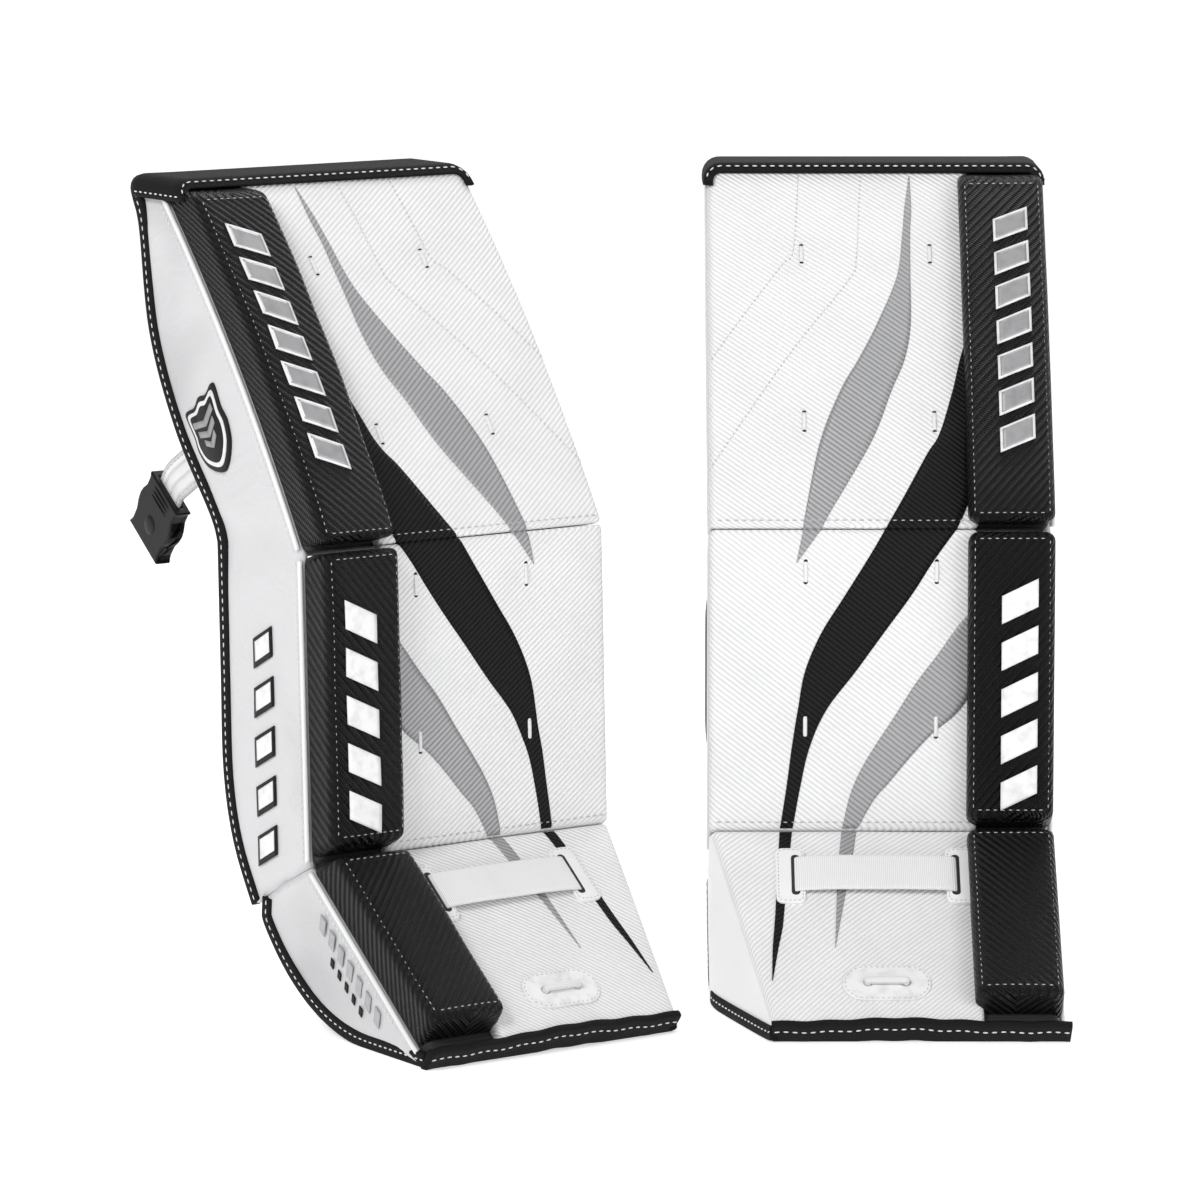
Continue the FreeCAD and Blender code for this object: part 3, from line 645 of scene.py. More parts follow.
# ---- Inner sides ----
# The inner side of the thigh and of the shin, in the same pale leather, glued to the foam from the
# cover's edge to the back. The boot's inner side is a gusset of its own, further down.
inner_thickness, inner_front, inner_behind, inner_soft, inner_cell = 0.004, 0.0085, 0.001, 0.0016, 0.010
inner_out = 0.0008
for section, back in (("thigh", thigh_back), ("shin", None)):
    shape = block(section, -half_width, -half_width + inner_thickness, -core_depth - inner_behind,
                  inner_front, inner_soft, inner_cell, low=back)
    bmesh.ops.translate(shape, vec=(-inner_out, 0, 0), verts=shape.verts)
    round_top(shape)
    make_pair(shape, section + "_inner_side", [pale_leather], section,
              [section + "_inner_panel"])

# ---- Black edge tape ----
# Woven tape folded over every cut edge and sewn through with heavy white thread: over the top,
# down the back of the outer side, round the boot's side and across the toe.
tape_width, tape_thickness = 0.0092, 0.0064
tape_in, tape_back, tape_seam_in, tape_seam_out = 0.0026, 0.0012, 0.0034, 0.00195
side_tape_points, boot_tape_points = 120, 70
stitch_pitch, stitch_length, thread_width = 0.0050, 0.0033, 0.00095


def sweep(line, wide, thick, squareness=0.45, around=14):
    """A closed bar along a line of (point, way out), wide across and thick outwards."""
    bm = bmesh.new()
    rows = len(line) - 1
    bmesh.ops.create_grid(bm, x_segments=around, y_segments=rows, size=0.5)
    uv = bm.loops.layers.uv.new("hide")
    passed = [0.0]
    for (a, _), (b, _) in zip(line, line[1:]):
        passed.append(passed[-1] + (b - a).length)
    for face in bm.faces:
        for loop in face.loops:
            u, i = loop.vert.co.x + 0.5, round((loop.vert.co.y + 0.5) * rows)
            loop[uv].uv = (u * 2 * wide, passed[i])
    for vert in bm.verts:
        angle, i = (vert.co.x + 0.5) * 2 * math.pi, round((vert.co.y + 0.5) * rows)
        point, way = line[i]
        along = (line[min(i + 1, rows)][0] - line[max(i - 1, 0)][0]).normalized()
        across = along.cross(way).normalized()
        up = across.cross(along).normalized()
        c, s = math.cos(angle), math.sin(angle)
        vert.co = (point + across * (wide / 2 * math.copysign(abs(c) ** squareness, c))
                   + up * (thick / 2 * math.copysign(abs(s) ** squareness, s)))
    bmesh.ops.remove_doubles(bm, verts=bm.verts, dist=0.00002)
    bmesh.ops.holes_fill(bm, edges=[edge for edge in bm.edges if edge.is_boundary])
    return bm


def sew(line, pitch=stitch_pitch, long=stitch_length, wide=thread_width, bm=None):
    """White thread along a line of (point, way out): one small raised stitch after another."""
    bm = bm or bmesh.new()
    runs = [(b[0] - a[0]).length for a, b in zip(line, line[1:])]
    count = max(1, int(sum(runs) / pitch))
    i, passed = 0, 0.0
    for k in range(count):
        want = (k + 0.5) * sum(runs) / count
        while i < len(runs) - 1 and passed + runs[i] < want:
            passed += runs[i]
            i += 1
        share = (want - passed) / max(runs[i], 1e-9)
        along = (line[i + 1][0] - line[i][0]).normalized()
        way = line[i][1]
        across = along.cross(way).normalized()
        up = across.cross(along).normalized()
        place = Matrix.Translation(line[i][0].lerp(line[i + 1][0], share))
        axes = Matrix((along, across, up)).transposed().to_4x4()
        size = Matrix.Diagonal((long / 2, wide / 2, wide * 0.4, 1))
        bmesh.ops.create_uvsphere(bm, u_segments=6, v_segments=4, radius=1.0, matrix=place @ axes @ size)
    return bm


# Painted shade: the tape's weave is darker in its grooves.
black_tape = ribbed("black_tape", (0.001, 0.001, 0.001), (0.010, 0.010, 0.011), 0.0009, 45.0, 0.00012,
                    0.62, cross=0.0009, Specular_IOR_Level=0.13)
white_thread = knit("white_thread", (0.62, 0.62, 0.62), (0.90, 0.90, 0.89), 0.0005, 0.00008, 0.6)


def inset_line(points, amount):
    """The points moved square to their line, in the plane of the side."""
    moved = []
    for i, p in enumerate(points):
        along = (points[min(i + 1, len(points) - 1)] - points[max(i - 1, 0)]).normalized()
        moved.append(p + Vector((1, 0, 0)).cross(along) * amount)
    return moved


below_cap = [point for point in spread(side_back, side_tape_points) if point.z < top.z - cap_corner]
for name, points, inward, fold in (("side_tape", below_cap, 1, knee_fold),
                                   ("boot_tape", spread(flap_back, boot_tape_points), -1, boot_fold)):
    line = [(p + out * (half_width - tape_back), out) for p in inset_line(points, tape_in * inward)]
    shape = sweep(line, tape_width, tape_thickness)
    stand_flat(shape)
    make_pair(shape, name, [black_tape], fold)
    seam = [(p + out * (half_width + tape_seam_out), out) for p in inset_line(points, tape_seam_in * inward)]
    make_pair(sew(seam), name + "_thread", [white_thread], fold)

front_corner = on_thigh(0, face_height, thigh_length - face_height * top_slope)
back_lean_slope = math.tan(math.radians(33.4))
back_edge_slope = math.tan(math.radians(21.0))
cap_drop, cap_over, cap_thickness, cap_lift, cap_seam_lift = 0.0103, 0.0048, 0.0012, 0.0011, 0.0026
cap_least_radius, cap_outer_start, cap_outer_run = 0.0012, 0.075, 0.02
cap_back_in, cap_outer_out = 0.002, 0.0035


def cap_point(w, depth, v, above=cap_lift):
    """On the cap over the top edge: inset w from its outline, depth from its front to its back, and
    v from the inner side to the outer one."""
    reach = half_width + above
    radius = max(cap_corner - w, cap_least_radius)
    flat, side = 2 * (half_width - cap_corner), cap_drop - cap_corner
    arc = math.pi / 2 * cap_corner
    total = flat + 2 * arc + 2 * side
    d = abs(v - 0.5) * total
    if d < flat / 2:
        x, fall = d, 0.0
    elif d < flat / 2 + arc:
        angle = (d - flat / 2) / cap_corner
        x = flat / 2 + (radius + above) * math.sin(angle)
        fall = (radius + above) * (1 - math.cos(angle))
    else:
        x, fall = flat / 2 + radius + above, radius + above + d - flat / 2 - arc
    z = top.z + above - w - fall
    front = front_corner.y - (top.z - z) * top_slope - above * 1.4
    outer = min(1.0, max(0.0, (math.copysign(x, v - 0.5) - cap_outer_start) / cap_outer_run))
    slope = back_lean_slope + (back_edge_slope - back_lean_slope) * outer
    back = top_back.y - cap_back_in + cap_outer_out * outer - (top.z - z) * slope + above
    return Vector((math.copysign(min(x, reach), v - 0.5), front + (back - front) * depth, z))


bm = bmesh.new()
bmesh.ops.create_grid(bm, x_segments=18, y_segments=90, size=0.5)
uv = bm.loops.layers.uv.new("hide")
for face in bm.faces:
    for loop in face.loops:
        loop[uv].uv = ((loop.vert.co.x + 0.5) * 0.06, loop.vert.co.y * 0.24)
for vert in bm.verts:
    u, v = vert.co.x + 0.5, vert.co.y + 0.5
    w = cap_over * max(0.0, 1 - u / 0.25, (u - 0.75) / 0.25)
    vert.co = cap_point(w, min(1.0, max(0.0, (u - 0.25) * 2)), v)
bmesh.ops.recalc_face_normals(bm, faces=bm.faces)
bmesh.ops.solidify(bm, geom=bm.faces[:], thickness=cap_thickness)
make_pair(bm, "top_tape", [black_tape], "thigh")
seam = [(cap_point(cap_over * 0.45, 0.0, i / 100, cap_seam_lift), face_way(thigh_high)) for i in range(2, 99)]
side_seam = [(cap_point(0.0, 0.04 + 0.88 * i / 40, 0.986, cap_seam_lift), out) for i in range(41)]
make_pair(sew(side_seam, bm=sew(seam)), "top_tape_thread", [white_thread], "thigh")

toe_steps, toe_tape_thickness, toe_tape_over, toe_tape_out = 60, 0.0048, 0.0022, 0.0004
toe_inner_over, toe_across = 0.001, 2 * half_width - toe_inset + 0.005
toe_rise, toe_rise_place, toe_rise_reach, toe_wave = 0.0035, 0.006, 0.034, 0.0006
toe_way = -lean_way(boot_kick)
toe_line = []
for i in range(toe_steps + 1):
    x = -half_width + toe_inset - toe_inner_over + toe_across * i / toe_steps
    lift = toe_rise * math.exp(-((x - toe_rise_place) / toe_rise_reach) ** 2) + toe_wave * math.sin(i * 0.7)
    place = on_boot(x, face_height / 2 + toe_tape_out + lift * 0.5, boot_length + toe_tape_out - lift * 0.3)
    toe_line.append((place, toe_way))
shape = sweep(toe_line, face_height + toe_tape_over, toe_tape_thickness, 0.35)
stand_flat(shape)
make_pair(shape, "toe_tape", [black_tape], "boot")
seam = [(point + toe_way * 0.0026 + face_way(boot_kick) * 0.0030, way) for point, way in toe_line]
make_pair(sew(seam), "toe_tape_thread", [white_thread], "boot")

# ---- White piping ----
# A cord in white leather sewn between the rolls and the outer side, with a row of stitches
# beside it on the side panel.
piping_width, piping_out, piping_behind = 0.0030, 0.0004, 0.0008
piping_seam_out, piping_seam_behind = 0.0012, 0.0048
piping_stitch = (0.0040, 0.0022, 0.0007)
white_leather = grained("white_leather", (0.86, 0.86, 0.86), (0.80, 0.80, 0.80), 0.0009, 0.00008, 0.36)
for section, first, last in (("thigh", 0.004, thigh_length - 0.0135), ("shin", 0.003, shin_length - 0.003),
                             ("boot", 0.003, boot_length - 0.008)):
    place = sections[section][0]
    along = [first + (last - first) * i / 60 for i in range(61)]
    line = [(place(half_width + piping_out, -piping_behind, s), out) for s in along]
    make_pair(sweep(line, piping_width, piping_width, 1.0, 10), section + "_piping", [white_leather],
              section)
    seam = [(place(half_width + piping_seam_out, -piping_seam_behind, s), out) for s in along]
    make_pair(sew(seam, *piping_stitch), section + "_piping_thread", [white_thread], section)

# ---- Stripes on the front covers ----
# Black and silver shapes of the same twill let into the white covers. They run from the outer
# rolls down across the leg, under the boot strap, to points near the toe.
stripe_height, stripe_thickness, stripe_columns = 0.00035, 0.0009, 8


def cover_front(section, x, s):
    """Height of a front cover at a place on it, with its crown and its soft ends."""
    start, end = ends(section, face_height)
    a = (x - (roll_edge + cover_tuck - half_width) / 2) * 2 / (roll_edge + cover_tuck + half_width)
    b = (s - start) / (end - start) * 2 - 1
    rise = cover_lift * (1 - a ** 4) * (1 - min(1.0, abs(b)) ** 8)
    edge = max(0.0, min(s - start, end - s))
    if edge < cover_soft:
        rise -= cover_soft - math.sqrt(cover_soft ** 2 - (cover_soft - edge) ** 2)
    return face_height + rise + cover_swell(section, x, s)


def on_cover(section, x, s, above=0.0):
    """A place on a front cover, or a little above it."""
    return sections[section][0](x, cover_front(section, x, s) + above, s)


def inlay(place, first, last, steps, above=stripe_height, thick=stripe_thickness):
    """A thin shape let into a surface, between two soft lines of (across, along) in millimetres."""
    first = smooth_line([Vector((x, 0, s)) / 1000 for x, s in first], steps)
    last = smooth_line([Vector((x, 0, s)) / 1000 for x, s in last], steps)
    bm = bmesh.new()
    rows = len(first) - 1
    bmesh.ops.create_grid(bm, x_segments=stripe_columns, y_segments=rows, size=0.5)
    uv = bm.loops.layers.uv.new("hide")
    for face in bm.faces:
        for loop in face.loops:
            u, i = loop.vert.co.x + 0.5, round((loop.vert.co.y + 0.5) * rows)
            spot = first[i].lerp(last[i], u)
            loop[uv].uv = (spot.x, spot.z)
    for vert in bm.verts:
        u, i = vert.co.x + 0.5, round((vert.co.y + 0.5) * rows)
        vert.co = first[i].lerp(last[i], u)
    made = bmesh.ops.extrude_face_region(bm, geom=bm.faces[:])["geom"]
    under = {item for item in made if isinstance(item, bmesh.types.BMVert)}
    for vert in bm.verts:
        vert.co = place(vert.co.x, vert.co.z, above - (thick if vert in under else 0.0))
    bmesh.ops.remove_doubles(bm, verts=bm.verts, dist=0.00001)
    return bm


# Painted shade: both stripe twills are darker in their grooves.
black_twill = ribbed("black_twill", (0.001, 0.001, 0.001), (0.012, 0.012, 0.013), twill_spacing, twill_turn,
                     twill_depth, 0.42, Specular_IOR_Level=0.14)
silver_twill = ribbed("silver_twill", (0.25, 0.25, 0.26), (0.42, 0.42, 0.43), twill_spacing, twill_turn,
                      0.0003, 0.4, Metallic=0.25)
knee_low, knee_high, break_low = -3.6, 178.6, 6.6
stripes = (
    ("thigh", "black_stripe", black_twill,
     ((49.3, 112), (45.9, 100), (41.2, 79.8), (33.4, 54.1), (26.1, 41.3), (12.7, 15.6), (2, knee_low)),
     ((49.5, 111.5), (49.5, 100), (49.5, 80), (49.5, 54), (49.5, 41), (49.5, 15), (42.3, knee_low))),
    ("shin", "black_stripe", black_twill,
     ((2, knee_high), (-7.5, 162.3), (-20.9, 140.6), (-34.3, 118.9), (-43.3, 97.2), (-47.2, 75.5),
      (-50.6, 53.8), (-53.4, 32.1), (-57.2, break_low)),
     ((42.3, knee_high), (30.6, 162.3), (16.6, 140.6), (0.9, 118.9), (-14.7, 97.2), (-31, 75.5),
      (-40.5, 53.8), (-45.5, 32.1), (-50, break_low))),
    ("boot", "black_stripe", black_twill,
     ((-57.2, break_low), (-57.8, 17), (-60.6, 64.6), (-61.7, 80.4), (-62.9, 96.3), (-63.6, 119)),
     ((-50, break_low), (-51.1, 17), (-55.5, 64.6), (-57, 80.4), (-59.8, 96.3), (-63.3, 119))),
    ("thigh", "upper_silver_stripe", silver_twill,
     ((20.3, 226.7), (17.2, 203.6), (15.5, 185.6), (11.6, 156.1), (-0.7, 124.1), (-11.4, 101.6),
      (-22, 81.7), (-34.3, 49), (-43.3, 4.7), (-44.3, knee_low)),
     ((20.7, 226.7), (21.1, 203.6), (20, 185.6), (19.4, 156.1), (18.8, 124.1), (14.9, 101.6),
      (7.1, 81.7), (-5.2, 49), (-29.8, 4.7), (-34, knee_low))),
    ("shin", "upper_silver_stripe", silver_twill,
     ((-44.3, knee_high), (-48.3, 159.5)), ((-34, knee_high), (-48.1, 159))),
    ("shin", "lower_silver_stripe", silver_twill,
     ((49.5, 131), (42.3, 122.2), (31.7, 107), (19.4, 90.7), (7.1, 71.2), (-3.5, 54.9), (-11.4, 41.3),
      (-17.5, 26.7), (-22, break_low)),
     ((49.7, 128), (49.6, 105), (49.5, 85), (42.3, 73.3), (28, 61), (16, 48), (5, 34.5), (-4, 24),
      (-13.6, break_low))),
    ("boot", "lower_silver_stripe", silver_twill,
     ((-22, break_low), (-24.8, 35), (-26.5, 64), (-28, 94.7)),
     ((-13.6, break_low), (-17.5, 35), (-22.6, 64), (-27.8, 94.7))),
)
for section, name, material, first, last in stripes:
    shape = inlay(partial(on_cover, section), first, last, 16)
    make_pair(shape, section + "_" + name, [material], section)

# ---- Sewing on the front covers ----
# Lines of fine thread across the thigh, and a row of heavier stitches beside each crease, which
# hold the covers down to the foam.
grey_thread = knit("grey_thread", (0.36, 0.36, 0.37), (0.58, 0.58, 0.59), 0.0005, 0.00008, 0.6)
fine_lines = (((-43.8, 231), (-45, 206.8), (-47.8, 173.5), (-54.5, 163.8), (-75, 133), (-96, 101)),
              ((-7.5, 231), (-9.1, 204.9), (-11.4, 168.4), (-15.9, 154.2), (-49.4, 106.7), (-96, 34)))
fine_stitch, crease_stitch, thread_lift = (0.0032, 0.0018, 0.00055), (0.0046, 0.0030, 0.0008), 0.0002
crease_seam_start, crease_seam_long = -half_width + 0.003, 0.146
bm = None
for points in fine_lines:
    flat = smooth_line([Vector((x, 0, s)) / 1000 for x, s in points], 10)
    line = [(on_cover("thigh", p.x, p.z, thread_lift), face_way(thigh_lean(p.z))) for p in flat]
    bm = sew(line, *fine_stitch, bm)
make_pair(bm, "thigh_fine_thread", [grey_thread], "thigh")
for section, s, lean, name in (("shin", 0.0112, shin_lean, "shin_break_thread"),
                               ("thigh", 0.0012, thigh_low, "thigh_knee_thread")):
    line = []
    for i in range(61):
        x = crease_seam_start + crease_seam_long * i / 60
        line.append((on_cover(section, x, s, thread_lift), face_way(lean)))
    make_pair(sew(line, *crease_stitch), name, [grey_thread], section)

# ---- Sewing and marks on the rolls ----
# A row of thread down both front corners of each roll and across its ends. Raised silver and
# white bars are welded on the rolls as plain decoration, and more of them on the outer side.
corner_stitch, seam_from_end = (0.0042, 0.0024, 0.0006), 0.0045
roll_seams = (roll_edge + 0.0034, half_width - 0.0030)
end_seam_start, end_seam_long = roll_edge + 0.005, 0.0385


def roll_front(section, x, s):
    """Height of a roll's front at a place on it."""
    a = (x - (roll_edge + half_width) / 2) * 2 / (half_width - roll_edge)
    start, end = ends(section, roll_height)
    b = (s - start) / (end - start) * 2 - 1
    rise = roll_lift * (1 - min(1, abs(a)) ** 4) * (1 - min(1.0, abs(b)) ** 8)
    return roll_height + rise + roll_swell(section, x, s)


def on_roll(section, x, s, above):
    """A place on a roll's front, or a little above it."""
    return sections[section][0](x, roll_front(section, x, s) + above, s)


def lean_at(section, s):
    """How far a section leans back at a place along it."""
    return {"thigh": thigh_lean(s), "shin": shin_lean, "boot": boot_kick}[section]


for section, far_gap in roll_far_gap.items():
    start, end = ends(section, roll_height)
    start, end = start + roll_gap + seam_from_end, end - far_gap - seam_from_end
    places = [start + (end - start) * i / 60 for i in range(61)]
    bm = None
    for x in roll_seams:
        line = [(on_roll(section, x, s, -0.0006), face_way(lean_at(section, s))) for s in places]
        bm = sew(line, *corner_stitch, bm)
    for s in (start, end):
        across = [end_seam_start + end_seam_long * i / 12 for i in range(13)]
        line = [(on_roll(section, x, s, -0.0002), face_way(lean_at(section, s))) for x in across]
        bm = sew(line, *corner_stitch, bm)
    make_pair(bm, section + "_roll_thread", [grey_thread], section)


def printed(name, colour, rough, **values):
    """A smooth film or moulding with a faint worn mottle and a fine grain."""
    material = finish(name, colour, rough, **values)
    shader = material.node_tree.nodes["Principled BSDF"]
    place = add(material, "TexCoord")
    worn = add(material, "TexNoise", Scale=160.0, Detail=6.0)
    join(material, place.outputs["Object"], worn.inputs["Vector"])
    ramp = add(material, "ValToRGB")
    ramp.color_ramp.elements[0].color = (*[c * 0.82 for c in colour], 1.0)
    ramp.color_ramp.elements[1].color = (*colour, 1.0)
    ramp.color_ramp.elements[0].position = 0.3
    ramp.color_ramp.elements[1].position = 0.55
    join(material, worn.outputs["Fac"], ramp.inputs["Fac"])
    join(material, ramp.outputs["Color"], shader.inputs["Base Color"])
    bump = add(material, "Bump", Strength=0.25, Distance=0.0002)
    join(material, worn.outputs["Fac"], bump.inputs["Height"])
    join(material, bump.outputs["Normal"], shader.inputs["Normal"])
    return material


white_film = printed("white_film", (0.86, 0.86, 0.86), 0.4)
silver_film = printed("silver_film", (0.42, 0.42, 0.43), 0.36, Metallic=0.4)
black_film = printed("black_film", (0.006, 0.006, 0.006), 0.42, Specular_IOR_Level=0.2)


def take_in(bm, part):
    """Adds a part to a piece's shape."""
    mesh = bpy.data.meshes.new("part")
    part.to_mesh(mesh)
    part.free()
    bm.from_mesh(mesh)
    bpy.data.meshes.remove(mesh)


def bars(place, across, start, pitch, long, slant, count, above):
    """A row of slanting bars along a surface, in millimetres."""
    bm = bmesh.new()
    x0, x1 = across
    for k in range(count):
        s = start + pitch * k
        take_in(bm, inlay(place, ((x0, s), (x0, s + long)), ((x1, s + slant), (x1, s + slant + long)), 6,
                          above, bar_thickness))
    return bm


def on_side(depth, s, above):
    """A place on the shin's outer side."""
    u = min(1.0, max(0.0, depth / side_depth))
    rise = side_rise(u, s / shin_length * shin_share)
    return on_shin(side_at + rise + above, -depth, s)


def on_flap(depth, s, above):
    """A place on the boot's outer side."""
    return on_boot(side_at + panel_padding * 0.75 + above, -depth, s)


bar_thickness, shin_share = 0.0007, 0.38
on_thigh_roll, on_shin_roll = partial(on_roll, "thigh"), partial(on_roll, "shin")
for name, place, across, start, pitch, long, slant, count, above, film, slot, body in (
        ("thigh_roll_bar_edges", on_thigh_roll, (67.0, 87.0), 36.0, 22.5, 15.0, 9.0, 7, 0.0006, white_film,
         "roll_leather", "thigh"),
        ("thigh_roll_bars", on_thigh_roll, (68.4, 85.6), 38.0, 22.5, 12.2, 7.8, 7, 0.0009, silver_film,
         "roll_leather", "thigh"),
        ("shin_roll_bars", on_shin_roll, (67.0, 87.5), 20.0, 26.5, 16.0, 10.0, 5, 0.0009, white_film,
         "roll_leather", "shin"),
        ("side_bar_edges", on_side, (30.0, 50.0), 4.0, 28.0, 17.0, -9.0, 5, 0.0011, black_film,
         "side_leather", "shin"),
        ("side_bars", on_side, (32.4, 47.6), 6.2, 28.0, 11.4, -7.0, 5, 0.0014, white_film,
         "side_leather", "shin"),
        ("boot_side_bars", on_flap, (9.0, 17.0), 26.0, 11.5, 6.0, 4.0, 7, 0.0016, silver_film,
         "side_leather", "boot"),
        ("boot_side_short_bars", on_flap, (21.0, 25.0), 48.0, 9.0, 3.4, 2.0, 5, 0.0016, black_film,
         "side_leather", "boot")):
    make_pair(bars(place, across, start, pitch, long, slant, count, above), name, [film], body)

# ---- Shield on the thigh's outer side ----
# A plain moulded rubber shield: a black plate, a raised white rim and a black field with three
# grey chevrons. It is welded to the side panel.
badge_s, badge_depth, badge_half_width, badge_half_height = 0.100, 0.042, 0.0185, 0.0240
badge_lean = thigh_lean(badge_s)
badge_outline = ((-1.0, 0.86), (-0.86, 0.98), (-0.4, 0.9), (0.0, 1.0), (0.4, 0.9), (0.86, 0.98), (1.0, 0.86),
                 (0.93, 0.35), (0.98, -0.1), (0.72, -0.62), (0.0, -1.0), (-0.72, -0.62), (-0.98, -0.1),
                 (-0.93, 0.35))
chevrons, chevron_wide, chevron_drop = ((-9.0, 6.0), (-2.0, 9.0), (5.0, 11.5)), 4.0, 4.5
chevron_above, chevron_thickness = 0.0038, 0.0016


def on_badge(across, up, above):
    """A place on the shield, from its middle."""
    middle = on_thigh(half_width + 0.0008, -badge_depth, badge_s)
    return middle + face_way(badge_lean) * across + lean_way(badge_lean) * up + out * above


def shield(scale, low, high, soft):
    """A plate of the shield's outline at one scale, from low to high above the panel."""
    bm = bmesh.new()
    points = [Vector((x * badge_half_width, z * badge_half_height, 0)) * scale for x, z in badge_outline]
    closed = smooth_line(points[-1:] + points + points[:1], 6)[6:-7]
    face = bm.faces.new([bm.verts.new(p) for p in closed])
    made = bmesh.ops.extrude_face_region(bm, geom=[face])["geom"]
    raised = [item for item in made if isinstance(item, bmesh.types.BMVert)]
    bmesh.ops.translate(bm, vec=(0, 0, high - low), verts=raised)
    rim = [edge for edge in bm.edges if all(vert in raised for vert in edge.verts)]
    bmesh.ops.bevel(bm, geom=rim, offset=soft, segments=2, profile=0.5, affect="EDGES", material=-1)
    for vert in bm.verts:
        vert.co = on_badge(vert.co.x, vert.co.y, low + vert.co.z)
    return bm


black_rubber = printed("black_rubber", (0.008, 0.008, 0.008), 0.5, Specular_IOR_Level=0.25)
white_rubber = printed("white_rubber", (0.78, 0.78, 0.78), 0.45)
grey_rubber = printed("grey_rubber", (0.30, 0.30, 0.31), 0.45)
for name, scale, low, high, soft, rubber, nodes in (
        ("shield_plate", 1.0, 0.0, 0.0022, 0.0007, black_rubber, ["thigh_badge"]),
        ("shield_rim", 0.86, 0.0018, 0.0029, 0.0005, white_rubber, ()),
        ("shield_field", 0.74, 0.0022, 0.0032, 0.0003, black_rubber, ())):
    make_pair(shield(scale, low, high, soft), name, [rubber], "thigh", nodes)
bm = bmesh.new()
for up, wide in chevrons:
    for across in (-wide, wide):
        outer_end = ((across, up + chevron_drop), (across, up + chevron_drop + chevron_wide))
        take_in(bm, inlay(on_badge, ((0.0, up), (0.0, up + chevron_wide)), outer_end, 2, chevron_above,
                          chevron_thickness))
make_pair(bm, "shield_chevrons", [grey_rubber], "thigh")

# ---- Lace tacks ----
# Four short loops of flat white lace through each large cover. Both ends of a loop go down into
# small dark holes, and pull the cover in.
tack_length, tack_width, tack_thickness = 0.012, 0.0024, 0.0013
tack_rise, tack_sunk, tack_hole = 0.0010, 0.0004, 0.0013
# Painted shade: the lace is darker between its ribs.
white_lace = ribbed("white_lace", (0.66, 0.66, 0.66), (0.88, 0.88, 0.88), 0.0006, 0.0, 0.0001, 0.55,
                    cross=0.0007)
for section in ("thigh", "shin"):
    bm, holes = bmesh.new(), bmesh.new()
    for x in tack_columns:
        for s in tack_rows[section]:
            lean = lean_at(section, s)
            line = []
            for i in range(13):
                share = i / 12
                rise = tack_rise * math.sin(math.pi * share) ** 0.6 - tack_sunk
                line.append((on_cover(section, x, s + tack_length * (share - 0.5), rise), face_way(lean)))
            take_in(bm, sweep(line, tack_width, tack_thickness, 0.7, 8))
            for end in (-0.5, 0.5):
                # Flat black discs at the loop's ends: painted shade inside the holes.
                spot = Matrix.Translation(on_cover(section, x, s + tack_length * end))
                round_hole = spot @ Matrix.Rotation(math.radians(90.0 - lean), 4, "X").inverted()
                bmesh.ops.create_uvsphere(holes, u_segments=10, v_segments=6, radius=tack_hole,
                                          matrix=round_hole @ Matrix.Diagonal((1, 1, 0.25, 1)))
    make_pair(bm, section + "_tack_laces", [white_lace], section, [section + "_tacks"])
    make_pair(holes, section + "_tack_holes", [black_film], section)

# ---- Boot strap and its patches ----
# White webbing goes across the boot, in through two slots and round behind the skate. Each slot
# is cut through a white leather patch, which is stitched down all round.
strap_wide, strap_thick, strap_place = 0.025, 0.0020, 0.043
strap_inner, strap_outer, strap_back, strap_corner = -0.049, 0.041, 0.061, 0.011
patch_wide, patch_long, patch_thick, patch_shift = 0.0165, 0.0405, 0.0020, 0.0028
strap_above = face_height + cover_lift + patch_thick + 0.0011
patch_corner, patch_soft, patch_sunk, patch_stitch = 0.004, 0.0006, 0.001, (0.0026, 0.0018, 0.0006)
patch_seam_in, patch_seam_corner = 0.0014, 0.0032
slot_half_wide, slot_half_long, slot_corner, slot_above = 0.0024, 0.0148, 0.0022, 0.00025


def eased(stations, steps=6):
    """A soft line of (point, way out) through stations."""
    points = smooth_line([point for point, _ in stations], steps)
    line = []
    for i, point in enumerate(points):
        k = min(i // steps, len(stations) - 2)
        way = stations[k][1].lerp(stations[k + 1][1], (i - k * steps) / steps)
        line.append((point, way.normalized()))
    return line


def plate(x0, x1, s0, s1, n0, n1, corner, soft):
    """A soft-edged rectangular plate on the boot's face."""
    bm = bmesh.new()
    bmesh.ops.create_cube(bm, size=1.0)
    bmesh.ops.scale(bm, vec=(x1 - x0, n1 - n0, s1 - s0), verts=bm.verts)
    bmesh.ops.translate(bm, vec=((x0 + x1) / 2, (n0 + n1) / 2, (s0 + s1) / 2), verts=bm.verts)
    upright = [edge for edge in bm.edges if abs(edge.verts[0].co.y - edge.verts[1].co.y) > 1e-6]
    bmesh.ops.bevel(bm, geom=upright, offset=corner, segments=5, profile=0.5, affect="EDGES", material=-1)
    rim = [edge for edge in bm.edges if all(vert.co.y > n1 - 1e-6 for vert in edge.verts)]
    bmesh.ops.bevel(bm, geom=rim, offset=soft, segments=2, profile=0.5, affect="EDGES", material=-1)
    for vert in bm.verts:
        vert.co = on_boot(vert.co.x, vert.co.y, vert.co.z)
    return bm


def ring_of(x0, x1, s0, s1, corner, n):
    """A closed round-cornered line on the boot's face, for stitches."""
    points = []
    for cx, cs, start in ((x1 - corner, s1 - corner, 0), (x0 + corner, s1 - corner, 90),
                          (x0 + corner, s0 + corner, 180), (x1 - corner, s0 + corner, 270)):
        for i in range(7):
            angle = math.radians(start + 15 * i)
            points.append(on_boot(cx + corner * math.cos(angle), n, cs + corner * math.sin(angle)))
    return [(p, face_way(boot_kick)) for p in points + points[:1]]


patch_leather = grained("patch_leather", (0.86, 0.86, 0.86), (0.80, 0.80, 0.80), 0.0008, 0.00008, 0.38)
